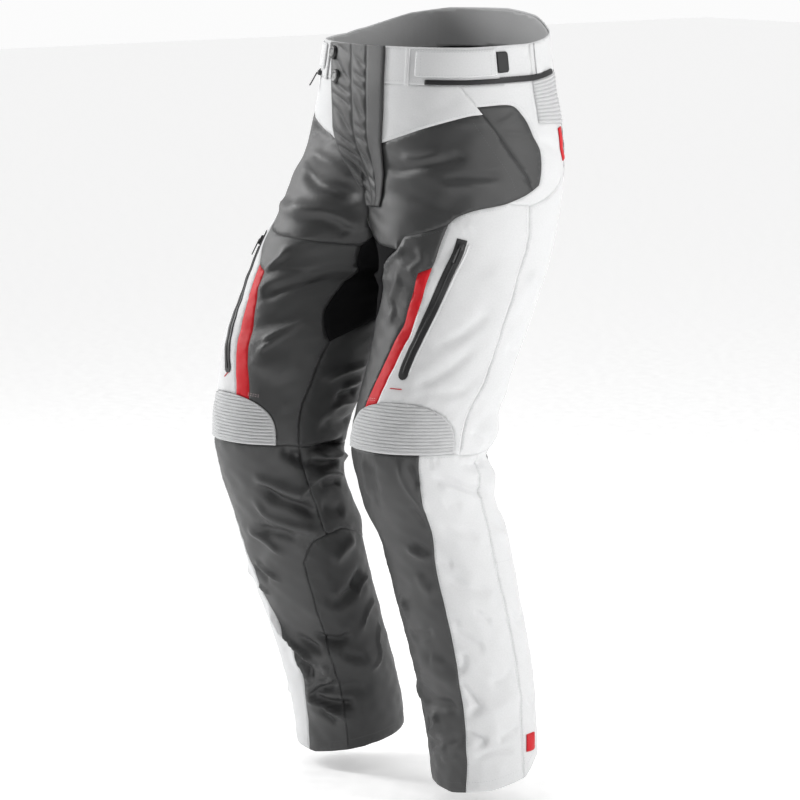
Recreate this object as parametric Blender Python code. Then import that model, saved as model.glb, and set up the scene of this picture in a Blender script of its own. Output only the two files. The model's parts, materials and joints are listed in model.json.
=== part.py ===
"""Motorcycle trousers, filled out as worn with nobody in them.

Metres, +Z up, the front faces -Y and the wearer's left is +X. The origin is the centre of the waist.
Each cloth panel is a thin closed wall cut from one smooth surface per leg. A place on that surface is an
angle round the leg (0 front, 90 outer side, 180 back, negative on the inner side) and a height.
"""
import math

import bmesh
import bpy
import numpy as np
from mathutils import Matrix, Vector
from mathutils.geometry import delaunay_2d_cdt

for old in list(bpy.data.objects):
    bpy.data.objects.remove(old, do_unlink=True)

# Cloth and seams
WALL = 0.0016
SEAM_GAP = 0.0003
TRIM_LIFT = 0.0005
WAIST_LIFT = 0.0009
PITCH = 0.028
STEP = 0.021
ARC = math.radians(1.0) * 0.105

# Waist
BAND_HEIGHT = 0.050
BAND_SIDE = 97.0
BAND_BACK = 127.0
LINING_SIDE = 46.0
LINING_DROP = 0.056
LINING_GAP = 0.0020
LINING_WALL = 0.0012
LINING_COLUMNS = 32
STRAP_DROP = 0.022
CROTCH_RUN = 0.19

# Knee accordion: an arch of ribs over a straight base
KNEE_CENTRE = 16.0
KNEE_HALF = 56.0
KNEE_HEIGHT = 0.067
KNEE_BASE = -0.534
KNEE_POWER = 2.6
KNEE_RIBS = 15
KNEE_COLUMNS = 11
KNEE_SPLIT = 8
KNEE_INSET = 0.0009
ARCH_STEP = 0.009
RIB_DEPTH = 0.0016

# Hip accordion
HIP_RIBS = 12

# Thigh zip and its pull tab
ZIP_HALF = 0.0072
ZIP_THICK = 0.0012
SLIDER_THICK = 0.0042
PULL_LENGTH = 0.026
PULL_WIDTH = 0.0055
PULL_THICK = 0.0015
PULL_GAP = 0.0003
# Millimetres down the zip to the hinge
PULL_HINGE = 11
PULL_LEAN = 4.0

# Connecting zip under the band, with one slider near its right front end
BAND_ZIP_ENDS = (36.0, 118.0)
BAND_ZIP_UP = 0.0035
BAND_ZIP_STATIONS = 15
BAND_SLIDER = (37.4, 41.2)
# Half width and thickness of the zip and of its slider
BAND_ZIP_SIZE = (0.0034, 0.0016)
BAND_SLIDER_SIZE = (0.0034, 0.0036)
BAND_PULL_LENGTH = 0.021
BAND_PULL_LEAN = 22.0

SIDES = {"L": 1.0, "R": -1.0}

# Leg sections: height, centre out from the middle, centre y, half width, depth to the front, depth to the
# back, squareness. Above the crotch a section reaches past the middle and is cut off there.
SECTIONS = {
    "L": (
        (0.060, 0.000, 0.000, 0.167, 0.128, 0.128, 2.40),
        (0.000, 0.000, 0.000, 0.168, 0.130, 0.130, 2.40),
        (-0.060, 0.000, 0.000, 0.175, 0.138, 0.136, 2.40),
        (-0.110, 0.008, 0.000, 0.175, 0.140, 0.142, 2.40),
        (-0.170, 0.030, -0.008, 0.161, 0.138, 0.149, 2.30),
        (-0.230, 0.060, -0.020, 0.138, 0.134, 0.142, 2.20),
        (-0.290, 0.095, -0.034, 0.105, 0.126, 0.126, 2.15),
        (-0.350, 0.110, -0.055, 0.096, 0.114, 0.111, 2.10),
        (-0.410, 0.116, -0.083, 0.093, 0.104, 0.106, 2.10),
        (-0.470, 0.118, -0.111, 0.092, 0.097, 0.102, 2.10),
        (-0.530, 0.120, -0.128, 0.092, 0.095, 0.097, 2.10),
        (-0.590, 0.124, -0.124, 0.089, 0.089, 0.090, 2.10),
        (-0.650, 0.129, -0.103, 0.086, 0.084, 0.090, 2.10),
        (-0.750, 0.139, -0.081, 0.083, 0.081, 0.086, 2.10),
        (-0.850, 0.147, -0.060, 0.079, 0.078, 0.083, 2.10),
        (-0.950, 0.153, -0.049, 0.075, 0.071, 0.077, 2.10),
        (-1.050, 0.156, -0.042, 0.073, 0.069, 0.075, 2.10),
    ),
    "R": (
        (0.060, 0.000, 0.000, 0.167, 0.128, 0.128, 2.40),
        (0.000, 0.000, 0.000, 0.168, 0.130, 0.130, 2.40),
        (-0.060, 0.000, 0.000, 0.175, 0.138, 0.136, 2.40),
        (-0.110, 0.008, 0.000, 0.178, 0.142, 0.142, 2.40),
        (-0.170, 0.030, -0.010, 0.167, 0.145, 0.142, 2.30),
        (-0.230, 0.062, -0.034, 0.148, 0.150, 0.124, 2.20),
        (-0.290, 0.098, -0.062, 0.113, 0.147, 0.114, 2.15),
        (-0.350, 0.109, -0.099, 0.104, 0.138, 0.112, 2.10),
        (-0.410, 0.113, -0.135, 0.103, 0.128, 0.108, 2.10),
        (-0.470, 0.114, -0.161, 0.099, 0.109, 0.096, 2.10),
        (-0.530, 0.116, -0.182, 0.093, 0.096, 0.088, 2.10),
        (-0.590, 0.119, -0.180, 0.089, 0.086, 0.080, 2.10),
        (-0.650, 0.124, -0.159, 0.087, 0.082, 0.085, 2.10),
        (-0.750, 0.132, -0.121, 0.084, 0.082, 0.082, 2.10),
        (-0.850, 0.140, -0.081, 0.079, 0.077, 0.082, 2.10),
        (-0.950, 0.146, -0.049, 0.077, 0.074, 0.083, 2.10),
        (-1.050, 0.150, -0.035, 0.074, 0.074, 0.080, 2.10),
    ),
}

# Both legs are turned towards the wearer's left by this angle: height, degrees
TURN = ((-0.20, 0.0), (-0.28, 8.0))
# The right leg hangs lower on its section by this drop: height, drop
SLUMP = ((-0.15, 0.0), (-0.25, 0.016), (-0.45, 0.010), (-0.56, 0.010), (-0.85, 0.0))

# The middle seam leans to the wearer's left and sinks in between the hips. Each is an amount that comes in
# over a run below its top and goes out over the same run above its foot: amount, top, foot, run
LEAN = (0.008, -0.100, -0.340, 0.120)
RECESS = (0.030, -0.100, -0.420, 0.140)
# Cosine of the angle round the leg past which the front has sunk in fully
RECESS_SIDE = 0.75

# Top edge of the waist: angle, height
RIM = {
    "L": ((0, 0.000), (60, 0.000), (97, 0.003), (120, 0.010), (143, 0.020), (160, 0.034), (180, 0.041)),
    "R": ((0, 0.000), (60, 0.002), (81, 0.005), (98, 0.016), (121, 0.031), (146, 0.039), (180, 0.041)),
}
# Hem: angle, height
HEM = ((-180, -0.967), (-140, -0.977), (-90, -0.991), (-48, -1.002), (0, -1.011), (48, -1.004),
       (90, -0.991), (115, -0.969), (145, -0.962), (180, -0.967), (220, -0.977), (270, -0.991))

# Largest folds, as soft ridges (height over 0) and troughs:
# start angle, start height, end angle, end height, half width, height
FOLDS = {
    "L": (
        (20, -0.150, 75, -0.190, 0.016, 0.0035),
        (5, -0.185, 60, -0.225, 0.014, -0.0040),
        (-10, -0.275, 35, -0.330, 0.014, 0.0040),
        (-20, -0.320, 20, -0.400, 0.015, -0.0040),
        (60, -0.280, 100, -0.360, 0.018, 0.0040),
        (75, -0.440, 135, -0.470, 0.014, 0.0050),
        (90, -0.505, 150, -0.520, 0.014, 0.0060),
        (85, -0.545, 165, -0.552, 0.011, -0.0075),
        (95, -0.585, 160, -0.575, 0.013, 0.0050),
        (120, -0.620, 190, -0.600, 0.013, -0.0050),
        (-60, -0.600, 0, -0.680, 0.018, 0.0040),
        (10, -0.600, 60, -0.720, 0.018, -0.0040),
        (-30, -0.820, 40, -0.860, 0.016, 0.0050),
        (-40, -0.870, 30, -0.900, 0.015, -0.0055),
        (40, -0.900, 100, -0.870, 0.015, 0.0045),
        (-20, -0.935, 50, -0.950, 0.014, 0.0040),
        (150, -0.130, 175, -0.240, 0.018, -0.0045),
        (150, -0.300, 250, -0.330, 0.018, 0.0045),
        (160, -0.420, 260, -0.400, 0.017, -0.0045),
        (150, -0.640, 250, -0.680, 0.018, 0.0045),
        (150, -0.850, 240, -0.820, 0.017, -0.0045),
    ),
    "R": (
        (10, -0.150, 70, -0.200, 0.016, 0.0035),
        (0, -0.195, 60, -0.235, 0.015, -0.0040),
        (-30, -0.300, 20, -0.330, 0.015, 0.0045),
        (-40, -0.345, 15, -0.390, 0.015, -0.0045),
        (-50, -0.430, 0, -0.420, 0.016, 0.0040),
        (85, -0.430, 150, -0.470, 0.016, 0.0050),
        (80, -0.545, 165, -0.552, 0.011, -0.0070),
        (-80, -0.545, -50, -0.552, 0.010, -0.0050),
        (-75, -0.585, -10, -0.640, 0.017, 0.0045),
        (-20, -0.640, 30, -0.760, 0.018, -0.0040),
        (-80, -0.760, -20, -0.800, 0.017, 0.0045),
        (-60, -0.850, 15, -0.875, 0.015, 0.0080),
        (-85, -0.910, 5, -0.912, 0.013, -0.0085),
        (-100, -0.880, -40, -0.860, 0.015, 0.0050),
        (-60, -0.955, 10, -0.945, 0.014, 0.0050),
        (150, -0.130, 175, -0.240, 0.018, -0.0045),
        (150, -0.310, 250, -0.340, 0.018, 0.0045),
        (160, -0.430, 250, -0.400, 0.017, -0.0045),
        (150, -0.640, 250, -0.670, 0.018, 0.0045),
        (150, -0.850, 230, -0.820, 0.017, -0.0045),
    ),
}

# Seams inside a leg's pattern, as places (angle, height) from one junction to the next
SEAMS = {
    "upper_hem": ((9, -0.130), (35, -0.107), (58, -0.092), (68, -0.089)),
    "pocket_top": ((65, -0.079), (68, -0.089)),
    "pocket_mouth": ((68, -0.089), (81, -0.135), (90, -0.166), (95, -0.194)),
    "yoke_outer": ((65, -0.079), (80, -0.077), (87, -0.081), (91, -0.100), (94, -0.120), (99, -0.142),
                   (100.5, -0.170), (99.5, -0.187)),
    "yoke_foot": ((99.5, -0.187), (95, -0.194)),
    "yoke_side": ((95, -0.194), (89, -0.202), (82, -0.2075)),
    "yoke_bottom": ((82, -0.2075), (78, -0.2095), (62, -0.215), (50, -0.223), "white_top"),
    "hip_hem_front": ((82, -0.2075), (94, -0.213)),
    "hip_hem_back": ((94, -0.213), (108, -0.204), (122, -0.187), (134, -0.165)),
    "accordion_bottom": ((98, -0.104), (130, -0.109)),
    "hip_back": ((130, -0.109), (132, -0.140), (134, -0.165)),
    "seat_side": ((134, -0.165), (146, -0.215)),
    "side_edge": ("white_top", (33, -0.262), "stripe_top_outer"),
    "stripe_top": ("stripe_top_outer", "stripe_top_inner"),
    "side_seam": ((94, -0.213), (91, -0.257), (86, -0.310), (84, -0.350), (85, -0.400), (83, -0.450),
                  (78, -0.490), (77, -0.537)),
    "rear_edge": ((146, -0.215), (146, -0.380), (146, -0.540)),
    "inseam": ((-62, -0.392), (-58, -0.448), (-56, -0.480), (-61, -0.538)),
    "knee_inner": ((-40, -0.534), (-61, -0.538)),
    "knee_outer": ((72, -0.534), (77, -0.537)),
    "knee_gap": ((77, -0.537), (98, -0.540)),
    "knee_rear": ((98, -0.540), (146, -0.540)),
    "knee_back": ((146, -0.540), (220, -0.542), (299, -0.538)),
    "shin_side_seam": ((98, -0.540), (95, -0.600), (90, -0.680), (92, -0.760), (91, -0.870), (88, None)),
    "shin_rear_edge": ((146, -0.540), (148, -0.760), (148, None)),
    "shin_inseam": ((-61, -0.538), (-66, -0.590), (-71, -0.671)),
    "calf_top_front": ((-71, -0.671), (-55, -0.683), (-42, -0.712)),
    "calf_top_back": ((-71, -0.671), (-90, -0.666), (-115, -0.677), (-150, -0.700)),
    "calf_front": ((-42, -0.712), (-42, -0.860), (-42, None)),
    "calf_back": ((-150, -0.700), (-150, -0.850), (-150, None)),
}

# Junctions and seams that lie differently on the two legs
PLACES = {
    "L": {
        "white_top": (43, -0.233),
        "crotch_top": -0.262,
        "crotch_front": ((31, -0.241), (20, -0.247), (10, -0.252)),
        "gusset_front": (1, -0.269),
        "stripe_top_outer": (26, -0.290),
        "stripe_top_inner": (16, -0.298),
        "stripe_foot_outer": -6.0,
        "stripe_foot_inner": -20.0,
        "stripe_sag": 0.0,
        "gusset_edge": ((-12, -0.284), (-21, -0.302), (-27, -0.337), (-45, -0.371)),
        "shin_front_seam": ((36, -0.633), (30, -0.690), (30, -0.765), (28, -0.850), (24, -0.950),
                            (18, None)),
        "zip": ((48.5, -0.253), (35, -0.309), (22, -0.371), (15, -0.415), (13.5, -0.437)),
    },
    "R": {
        "white_top": (35, -0.233),
        "crotch_top": -0.246,
        "crotch_front": ((22, -0.244), (-5, -0.251)),
        "gusset_front": (-34, -0.260),
        "stripe_top_outer": (20, -0.290),
        "stripe_top_inner": (10, -0.298),
        "stripe_foot_outer": 4.0,
        "stripe_foot_inner": -10.0,
        "stripe_sag": 2.0,
        "gusset_edge": ((-36, -0.270), (-42, -0.300), (-46, -0.345), (-54, -0.371)),
        "shin_front_seam": ((38, -0.620), (30, -0.720), (10, -0.812), (-2, -0.870), (4, -0.940), (8, None)),
        "zip": ((44, -0.251), (33, -0.318), (22, -0.385), (15, -0.441)),
    },
}

# Fly flap: sewn edge and free edge, as (x, height), top to bottom
FLAP_SEWN = ((0.045, 0.000), (0.051, -0.071), (0.051, -0.129), (0.058, -0.171), (0.056, -0.203),
             (0.052, -0.216))
FLAP_FREE = ((-0.078, 0.000), (-0.069, -0.038), (-0.061, -0.073), (-0.053, -0.114), (-0.041, -0.140),
             (-0.026, -0.161), (-0.008, -0.182), (0.006, -0.198), (0.012, -0.218))
FLAP_COLUMNS = 7
FLAP_ROWS = 12
FLAP_LIFT = 0.0036
FLAP_WALL = 0.0018
FLAP_BRIDGE = 0.010

# Snaps on the flap: x, height, radius
SNAPS = {"snap_upper": (-0.0635, -0.014, 0.0085), "snap_lower": (-0.0505, -0.046, 0.0090)}
SNAP_LIFT = 0.0004
SNAP_THICK = 0.0035
SNAP_SIDES = 16
# Height share and radius share of the snap's rings
SNAP_PROFILE = ((0.0, 1.0), (0.6, 1.0), (1.0, 0.72))

COLOURS = {
    "white": (0.80, 0.81, 0.82),
    "grey": (0.065, 0.066, 0.068),
    "dark": (0.045, 0.046, 0.048),
    "black": (0.012, 0.012, 0.013),
    "red": (0.60, 0.012, 0.022),
    "lining": (0.16, 0.165, 0.17),
}


# Tables read as smooth curves

def blend_rows(rows, height):
    """Smooth reading of a table whose first column falls."""
    rows = np.asarray(rows, float)
    depth = -rows[:, 0]
    wanted = -np.asarray(height, float)
    index = np.clip(np.searchsorted(depth, wanted) - 1, 0, len(depth) - 2)
    slope = np.gradient(rows[:, 1:], depth, axis=0)
    span = depth[index + 1] - depth[index]
    part = np.clip((wanted - depth[index]) / span, 0.0, 1.0)[..., None]
    span = span[..., None]
    square, cube = part ** 2, part ** 3
    start = (2 * cube - 3 * square + 1) * rows[index, 1:] + (cube - 2 * square + part) * slope[index] * span
    end = (3 * square - 2 * cube) * rows[index + 1, 1:] + (cube - square) * slope[index + 1] * span
    return start + end


def section(side, height):
    """Centre out, centre y, half width, front depth, back depth and squareness of a section."""
    out, *others = np.moveaxis(blend_rows(SECTIONS[side], height), -1, 0)
    return np.maximum(out, 0.0) - SIDES[side] * swell(LEAN, height), *others


def ease(value):
    value = np.clip(value, 0.0, 1.0)
    return value * value * (3.0 - 2.0 * value)


def swell(row, height):
    """An amount that comes and goes between two heights."""
    amount, top, foot, run = row
    return amount * ease((top - np.asarray(height)) / run) * ease((np.asarray(height) - foot) / run)


def read_line(rows, value):
    """Straight-line reading of a table of two columns."""
    table = sorted(rows)
    return np.interp(value, [row[0] for row in table], [row[1] for row in table])


def turn(height):
    top, bottom = TURN
    return bottom[1] * ease((top[0] - np.asarray(height)) / (top[0] - bottom[0]))


def rim(side, angle):
    return read_line(RIM[side], np.abs(angle))


# The surface of one leg and its half of the seat

def centre_line(side, height, front):
    """y of a section where it meets the middle plane."""
    out, y, half, to_front, to_back, power = section(side, height)
    reach = (1.0 - np.clip(out / half, 0.0, 1.0) ** power) ** (1.0 / power)
    return np.where(front, y - to_front * reach, y + to_back * reach)


def plain_point(side, angle, height):
    """Point on the leg's section, before any fold; x counts outwards from the middle."""
    angle, height = np.broadcast_arrays(np.asarray(angle, float), np.asarray(height, float))
    own = SIDES[side]
    real = np.radians(angle + own * turn(height))
    level = height - (read_line(SLUMP, height) if side == "R" else 0.0)
    out, y, half, to_front, to_back, power = section(side, level)
    sine, cosine = np.sin(real), np.cos(real)
    x = out + half * np.sign(sine) * np.abs(sine) ** (2.0 / power)
    front = cosine > 0.0
    depth = np.where(front, to_front, to_back)
    y = y - depth * np.sign(cosine) * np.abs(cosine) ** (2.0 / power)
    # The two halves meet in one line down the middle
    other = "R" if side == "L" else "L"
    mean = 0.5 * (centre_line(side, level, front) + centre_line(other, level, front))
    mean = mean + swell(RECESS, level) * ease(cosine / RECESS_SIDE)
    near = np.exp(-(np.maximum(x, 0.0) / 0.055) ** 2) * ease((level + 0.40) / 0.10)
    y = y + near * (mean - centre_line(side, level, front))
    return np.stack([x, y, level], axis=-1)


def fold_height(side, angle, height):
    total = np.zeros(np.broadcast(angle, height).shape)
    for start, top, end, bottom, half, rise in FOLDS[side]:
        for shift in (-360.0, 0.0, 360.0):
            along = np.array([(end - start) * ARC, bottom - top])
            length = math.hypot(*along)
            across = (angle - start - shift) * ARC
            down = height - top
            run = (across * along[0] + down * along[1]) / length ** 2
            off = (across * along[1] - down * along[0]) / length
            ends = ease(run / 0.30) * ease((1.0 - run) / 0.30)
            total = total + rise * ends * np.exp(-(off / half) ** 2)
    return total


def frame_at(point_at, angle, height, small=(0.4, 0.0010)):
    """Point and unit normal of a surface given as a function of two values."""
    d_first = point_at(angle + small[0], height) - point_at(angle - small[0], height)
    d_second = point_at(angle, height + small[1]) - point_at(angle, height - small[1])
    normal = np.cross(d_first, d_second)
    normal /= np.linalg.norm(normal, axis=-1, keepdims=True)
    return point_at(angle, height), normal


def leg_point(side, angle, height):
    point, normal = frame_at(lambda a, h: plain_point(side, a, h), angle, height)
    return point + fold_height(side, angle, height)[..., None] * normal


def leg_frame(side, angle, height, lift=0.0):
    """Point and outward normal on a leg; lift moves the point out from the cloth's outer face."""
    angle, height = np.asarray(angle, float), np.asarray(height, float)
    point, normal = frame_at(lambda a, h: leg_point(side, a, h), angle, height)
    point = point + lift * normal
    point[..., 0] = np.maximum(point[..., 0], SEAM_GAP / 2)
    mirror = np.array([SIDES[side], 1.0, 1.0])
    point, normal = point * mirror, normal * mirror
    point[..., 0] += swell(LEAN, point[..., 2])
    return point, normal


def middle_angle(side, height, front=True):
    """Angle at which the section at this height meets the middle plane."""
    level = height - (read_line(SLUMP, height) if side == "R" else 0.0)
    out, _, half, _, _, power = section(side, level)
    real = math.degrees(math.asin(min(max(out / half, 0.0), 1.0) ** (power / 2.0)))
    real = -real if front else 180.0 + real
    return real - SIDES[side] * float(turn(height))


def middle_height(side, angle):
    """Height at which the crotch curve passes a given inner angle."""
    high, low = -0.10, -0.36
    for _ in range(40):
        mid = 0.5 * (high + low)
        if plain_point(side, angle, mid)[0] < 0.0:
            high = mid
        else:
            low = mid
    return 0.5 * (high + low)


# Seams as evenly sampled lines of places

def smooth_line(points, step=STEP):
    """Evenly spaced samples of a smooth curve through places (angle, height)."""
    flat = np.array([(a * ARC, h) for a, h in points])
    if len(flat) == 2:
        fine = np.linspace(flat[0], flat[1], 60)
    else:
        padded = np.vstack([2 * flat[0] - flat[1], flat, 2 * flat[-1] - flat[-2]])
        pieces = []
        for k in range(1, len(padded) - 2):
            t = np.linspace(0.0, 1.0, 30, endpoint=False)[:, None]
            before, start, end, after = padded[k - 1:k + 3]
            pieces.append(0.5 * (2 * start + (end - before) * t
                                 + (2 * before - 5 * start + 4 * end - after) * t ** 2
                                 + (3 * start - before - 3 * end + after) * t ** 3))
        fine = np.vstack(pieces + [flat[-1:]])
    along = np.concatenate([[0.0], np.cumsum(np.linalg.norm(np.diff(fine, axis=0), axis=1))])
    count = max(1, round(along[-1] / step))
    want = np.linspace(0.0, along[-1], count + 1)
    samples = np.stack([np.interp(want, along, fine[:, k]) for k in (0, 1)], axis=1)
    return [(a / ARC, h) for a, h in samples]


def knee_arch(angle_from, angle_to, step=ARCH_STEP):
    """The arched top edge of the knee accordion between two of its angles."""
    def turn_of(angle):
        return math.acos(max(-1.0, min(1.0, (angle - KNEE_CENTRE) / KNEE_HALF)))

    fine = []
    for t in np.linspace(turn_of(angle_from), turn_of(angle_to), 80):
        angle = KNEE_CENTRE + KNEE_HALF * math.cos(t)
        fine.append((angle, KNEE_BASE + KNEE_HEIGHT * math.sin(t) ** (2.0 / KNEE_POWER)))
    flat = np.array([(a * ARC, h) for a, h in fine])
    along = np.concatenate([[0.0], np.cumsum(np.linalg.norm(np.diff(flat, axis=0), axis=1))])
    want = np.linspace(0.0, along[-1], max(1, round(along[-1] / step)) + 1)
    return [(np.interp(w, along, flat[:, 0]) / ARC, float(np.interp(w, along, flat[:, 1]))) for w in want]


class Pattern:
    """All seam lines of one side, sampled once so that neighbours share their points."""

    def __init__(self, side):
        self.side = side
        self.places = PLACES[side]
        self.lines = {}
        crotch_top = self.places["crotch_top"]
        self.crotch_top = (middle_angle(side, crotch_top), crotch_top)
        seat_foot = -0.272
        self.seat_foot = (middle_angle(side, seat_foot, False), seat_foot)
        for name, points in SEAMS.items():
            self.lines[name] = smooth_line([self.place(p) for p in points])
        self.add_waist()
        self.add_middle()
        self.add_knee_and_stripe()
        self.add_shin()

    def place(self, point):
        if isinstance(point, str):
            return self.places[point]
        angle, height = point
        return (angle, read_line(HEM, angle) if height is None else height)

    def across(self, start, end, height_at):
        count = max(1, round(abs(end - start) * ARC * 1.5 / STEP))
        return [(a, float(height_at(a))) for a in np.linspace(start, end, count + 1)]

    def add_waist(self):
        side = self.side
        below = lambda a: rim(side, a) - BAND_HEIGHT
        stops = (0.0, 55.0, BAND_SIDE, BAND_BACK, 180.0)
        for k, (start, end) in enumerate(zip(stops, stops[1:])):
            self.lines[f"rim_{k}"] = self.across(start, end, lambda a: rim(side, a))
            self.lines[f"band_{k}"] = self.across(start, end, below)
        side_rim = float(rim(side, BAND_SIDE))
        self.lines["band_side"] = [(BAND_SIDE, side_rim), (BAND_SIDE, side_rim - BAND_HEIGHT)]
        self.lines["pocket_band"] = smooth_line([(55.0, float(below(55))), (65, -0.079)])
        self.lines["accordion_front"] = smooth_line([(BAND_SIDE, float(below(BAND_SIDE))), (98, -0.104)])
        self.lines["accordion_back"] = smooth_line([(BAND_BACK, float(below(BAND_BACK))), (130, -0.109)])

    def down_middle(self, top, bottom, front=True):
        count = max(1, round(abs(top - bottom) / STEP))
        return [(middle_angle(self.side, h, front), h) for h in np.linspace(top, bottom, count + 1)]

    def add_middle(self):
        side = self.side
        band = float(rim(side, 0)) - BAND_HEIGHT
        self.lines["middle_band"] = [(0.0, float(rim(side, 0))), (0.0, band)]
        self.lines["middle_upper"] = self.down_middle(band, -0.132)
        self.lines["middle_hip"] = self.down_middle(-0.132, self.crotch_top[1])
        self.lines["upper_middle"] = smooth_line([self.lines["middle_hip"][0], (9, -0.130)])
        back = float(rim(side, 180)) - BAND_HEIGHT
        self.lines["middle_seat"] = self.down_middle(back, self.seat_foot[1], False)
        gusset_front = self.places["gusset_front"]
        self.lines["gusset_top"] = smooth_line([gusset_front, self.crotch_top])
        self.lines["crotch_front"] = smooth_line([self.places["white_top"], *self.places["crotch_front"],
                                                  gusset_front])
        # Under the crotch, from front to back, by angle
        foot = self.seat_foot[0] - 360.0
        count = round(CROTCH_RUN / STEP)
        self.lines["crotch"] = [self.crotch_top]
        for angle in np.linspace(self.crotch_top[0], foot, count + 1)[1:-1]:
            self.lines["crotch"].append((angle, middle_height(side, angle)))
        self.lines["crotch"].append((foot, self.seat_foot[1]))
        self.lines["seat_foot"] = smooth_line([(146, -0.215), (172, -0.252), self.seat_foot])
        self.lines["gusset_edge"] = smooth_line([gusset_front, *self.places["gusset_edge"], (-62, -0.392)])
        self.lines["gusset_back"] = smooth_line([(-62, -0.392), (-84, -0.366), (-112, -0.318),
                                                 (foot, self.seat_foot[1])])

    def add_knee_and_stripe(self):
        outer, inner = self.places["stripe_foot_outer"], self.places["stripe_foot_inner"]
        ends = (KNEE_CENTRE + KNEE_HALF, outer, inner, KNEE_CENTRE - KNEE_HALF)
        for name, start, end in zip(("arch_outer", "arch_stripe", "arch_inner"), ends, ends[1:]):
            self.lines[name] = knee_arch(start, end)
        for name in ("outer", "inner"):
            top = self.places["stripe_top_" + name]
            foot = self.lines["arch_stripe"][0 if name == "outer" else -1]
            middle = (0.5 * (top[0] + foot[0]) - self.places["stripe_sag"], 0.5 * (top[1] + foot[1]))
            self.lines["stripe_" + name] = smooth_line([top, middle, foot])
        angles = np.linspace(KNEE_CENTRE - KNEE_HALF, KNEE_CENTRE + KNEE_HALF, KNEE_COLUMNS + 1)
        base = [(float(a), KNEE_BASE) for a in angles]
        self.lines["base_front"] = base[:KNEE_SPLIT + 1]
        self.lines["base_side"] = base[KNEE_SPLIT:]

    def add_shin(self):
        points = [self.lines["base_side"][0]] + [self.place(p) for p in self.places["shin_front_seam"]]
        self.lines["shin_front_seam"] = smooth_line(points)
        hem_at = lambda a: read_line(HEM, a)
        stops = (-150, -42, self.lines["shin_front_seam"][-1][0], 88, 148, 210)
        names = ("hem_calf", "hem_front", "hem_side", "hem_rear", "hem_back")
        for name, start, end in zip(names, stops, stops[1:]):
            self.lines[name] = self.across(start, end, hem_at)

    def outline(self, *names):
        """One closed loop of places from seam names; a name with a leading minus runs backwards, and a
        trailing @ adds or takes a whole turn."""
        loop = []
        for name in names:
            shift = 360.0 if name.endswith("@") else 0.0
            name = name.rstrip("@")
            line = self.lines[name.lstrip("-")]
            line = line[::-1] if name.startswith("-") else line
            line = [(a + shift, h) for a, h in line]
            loop.extend(line if not loop else line[1:] if close(loop[-1], line[0]) else line)
        if close(loop[0], loop[-1]):
            loop.pop()
        return loop


def close(one, two):
    return abs(one[0] - two[0]) < 0.05 and abs(one[1] - two[1]) < 0.0002


# Meshes

def material(name):
    found = bpy.data.materials.get(name)
    if found:
        return found
    made = bpy.data.materials.new(name)
    made.use_nodes = True
    shader = made.node_tree.nodes["Principled BSDF"]
    shader.inputs["Base Color"].default_value = (*COLOURS[name], 1.0)
    shader.inputs["Roughness"].default_value = 0.45 if name == "black" else 0.75
    shader.inputs["Metallic"].default_value = 0.0
    made.diffuse_color = (*COLOURS[name], 1.0)
    return made


def make_object(name, vertices, faces, colour):
    mesh = bpy.data.meshes.new(name)
    mesh.from_pydata([tuple(map(float, v)) for v in vertices], [], faces)
    work = bmesh.new()
    work.from_mesh(mesh)
    bmesh.ops.triangulate(work, faces=work.faces)
    if work.calc_volume(signed=True) < 0.0:
        bmesh.ops.reverse_faces(work, faces=work.faces)
    work.to_mesh(mesh)
    work.free()
    mesh.materials.append(material(colour))
    made = bpy.data.objects.new(name, mesh)
    bpy.context.collection.objects.link(made)
    mesh.shade_smooth()
    mesh.set_sharp_from_angle(angle=math.radians(50.0))
    return made


def triangles_of(outline, inside):
    """Triangles over an outline in the flat (angle, height) map, with the outline's points first."""
    flat = [Vector((a * ARC, h)) for a, h in outline + inside]
    count = len(outline)
    edges = [(k, (k + 1) % count) for k in range(count)]
    points, _, faces, origins, _, _ = delaunay_2d_cdt(flat, edges, [list(range(count))], 1, 1e-7)
    if len(points) != len(flat):
        raise ValueError("an outline crosses itself")
    back = [origin[0] for origin in origins]
    return [tuple(back[k] for k in face) for face in faces]


def inner_grid(outline, pitch):
    """Points on a staggered grid inside an outline and clear of its edge."""
    flat = np.array([(a * ARC, h) for a, h in outline])
    nxt = np.roll(flat, -1, axis=0)
    low, high = flat.min(axis=0), flat.max(axis=0)
    rows = max(1, math.ceil((high[1] - low[1]) / pitch))
    columns = max(1, math.ceil((high[0] - low[0]) / pitch))
    found = []
    for row in range(rows + 1):
        for column in range(columns + 2):
            spot = np.array([low[0] + (column - 0.5 * (row % 2)) * pitch, low[1] + (row + 0.5) * pitch])
            crossing = ((flat[:, 1] > spot[1]) != (nxt[:, 1] > spot[1]))
            with np.errstate(divide="ignore", invalid="ignore"):
                share = (spot[1] - flat[:, 1]) / (nxt[:, 1] - flat[:, 1])
                at = flat[:, 0] + share * (nxt[:, 0] - flat[:, 0])
            if (crossing & (at > spot[0])).sum() % 2 == 0:
                continue
            edge = nxt - flat
            part = np.clip(((spot - flat) * edge).sum(1) / np.maximum((edge ** 2).sum(1), 1e-12), 0, 1)
            if np.linalg.norm(flat + part[:, None] * edge - spot, axis=1).min() > 0.55 * pitch:
                found.append((spot[0] / ARC, spot[1]))
    return found


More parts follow.
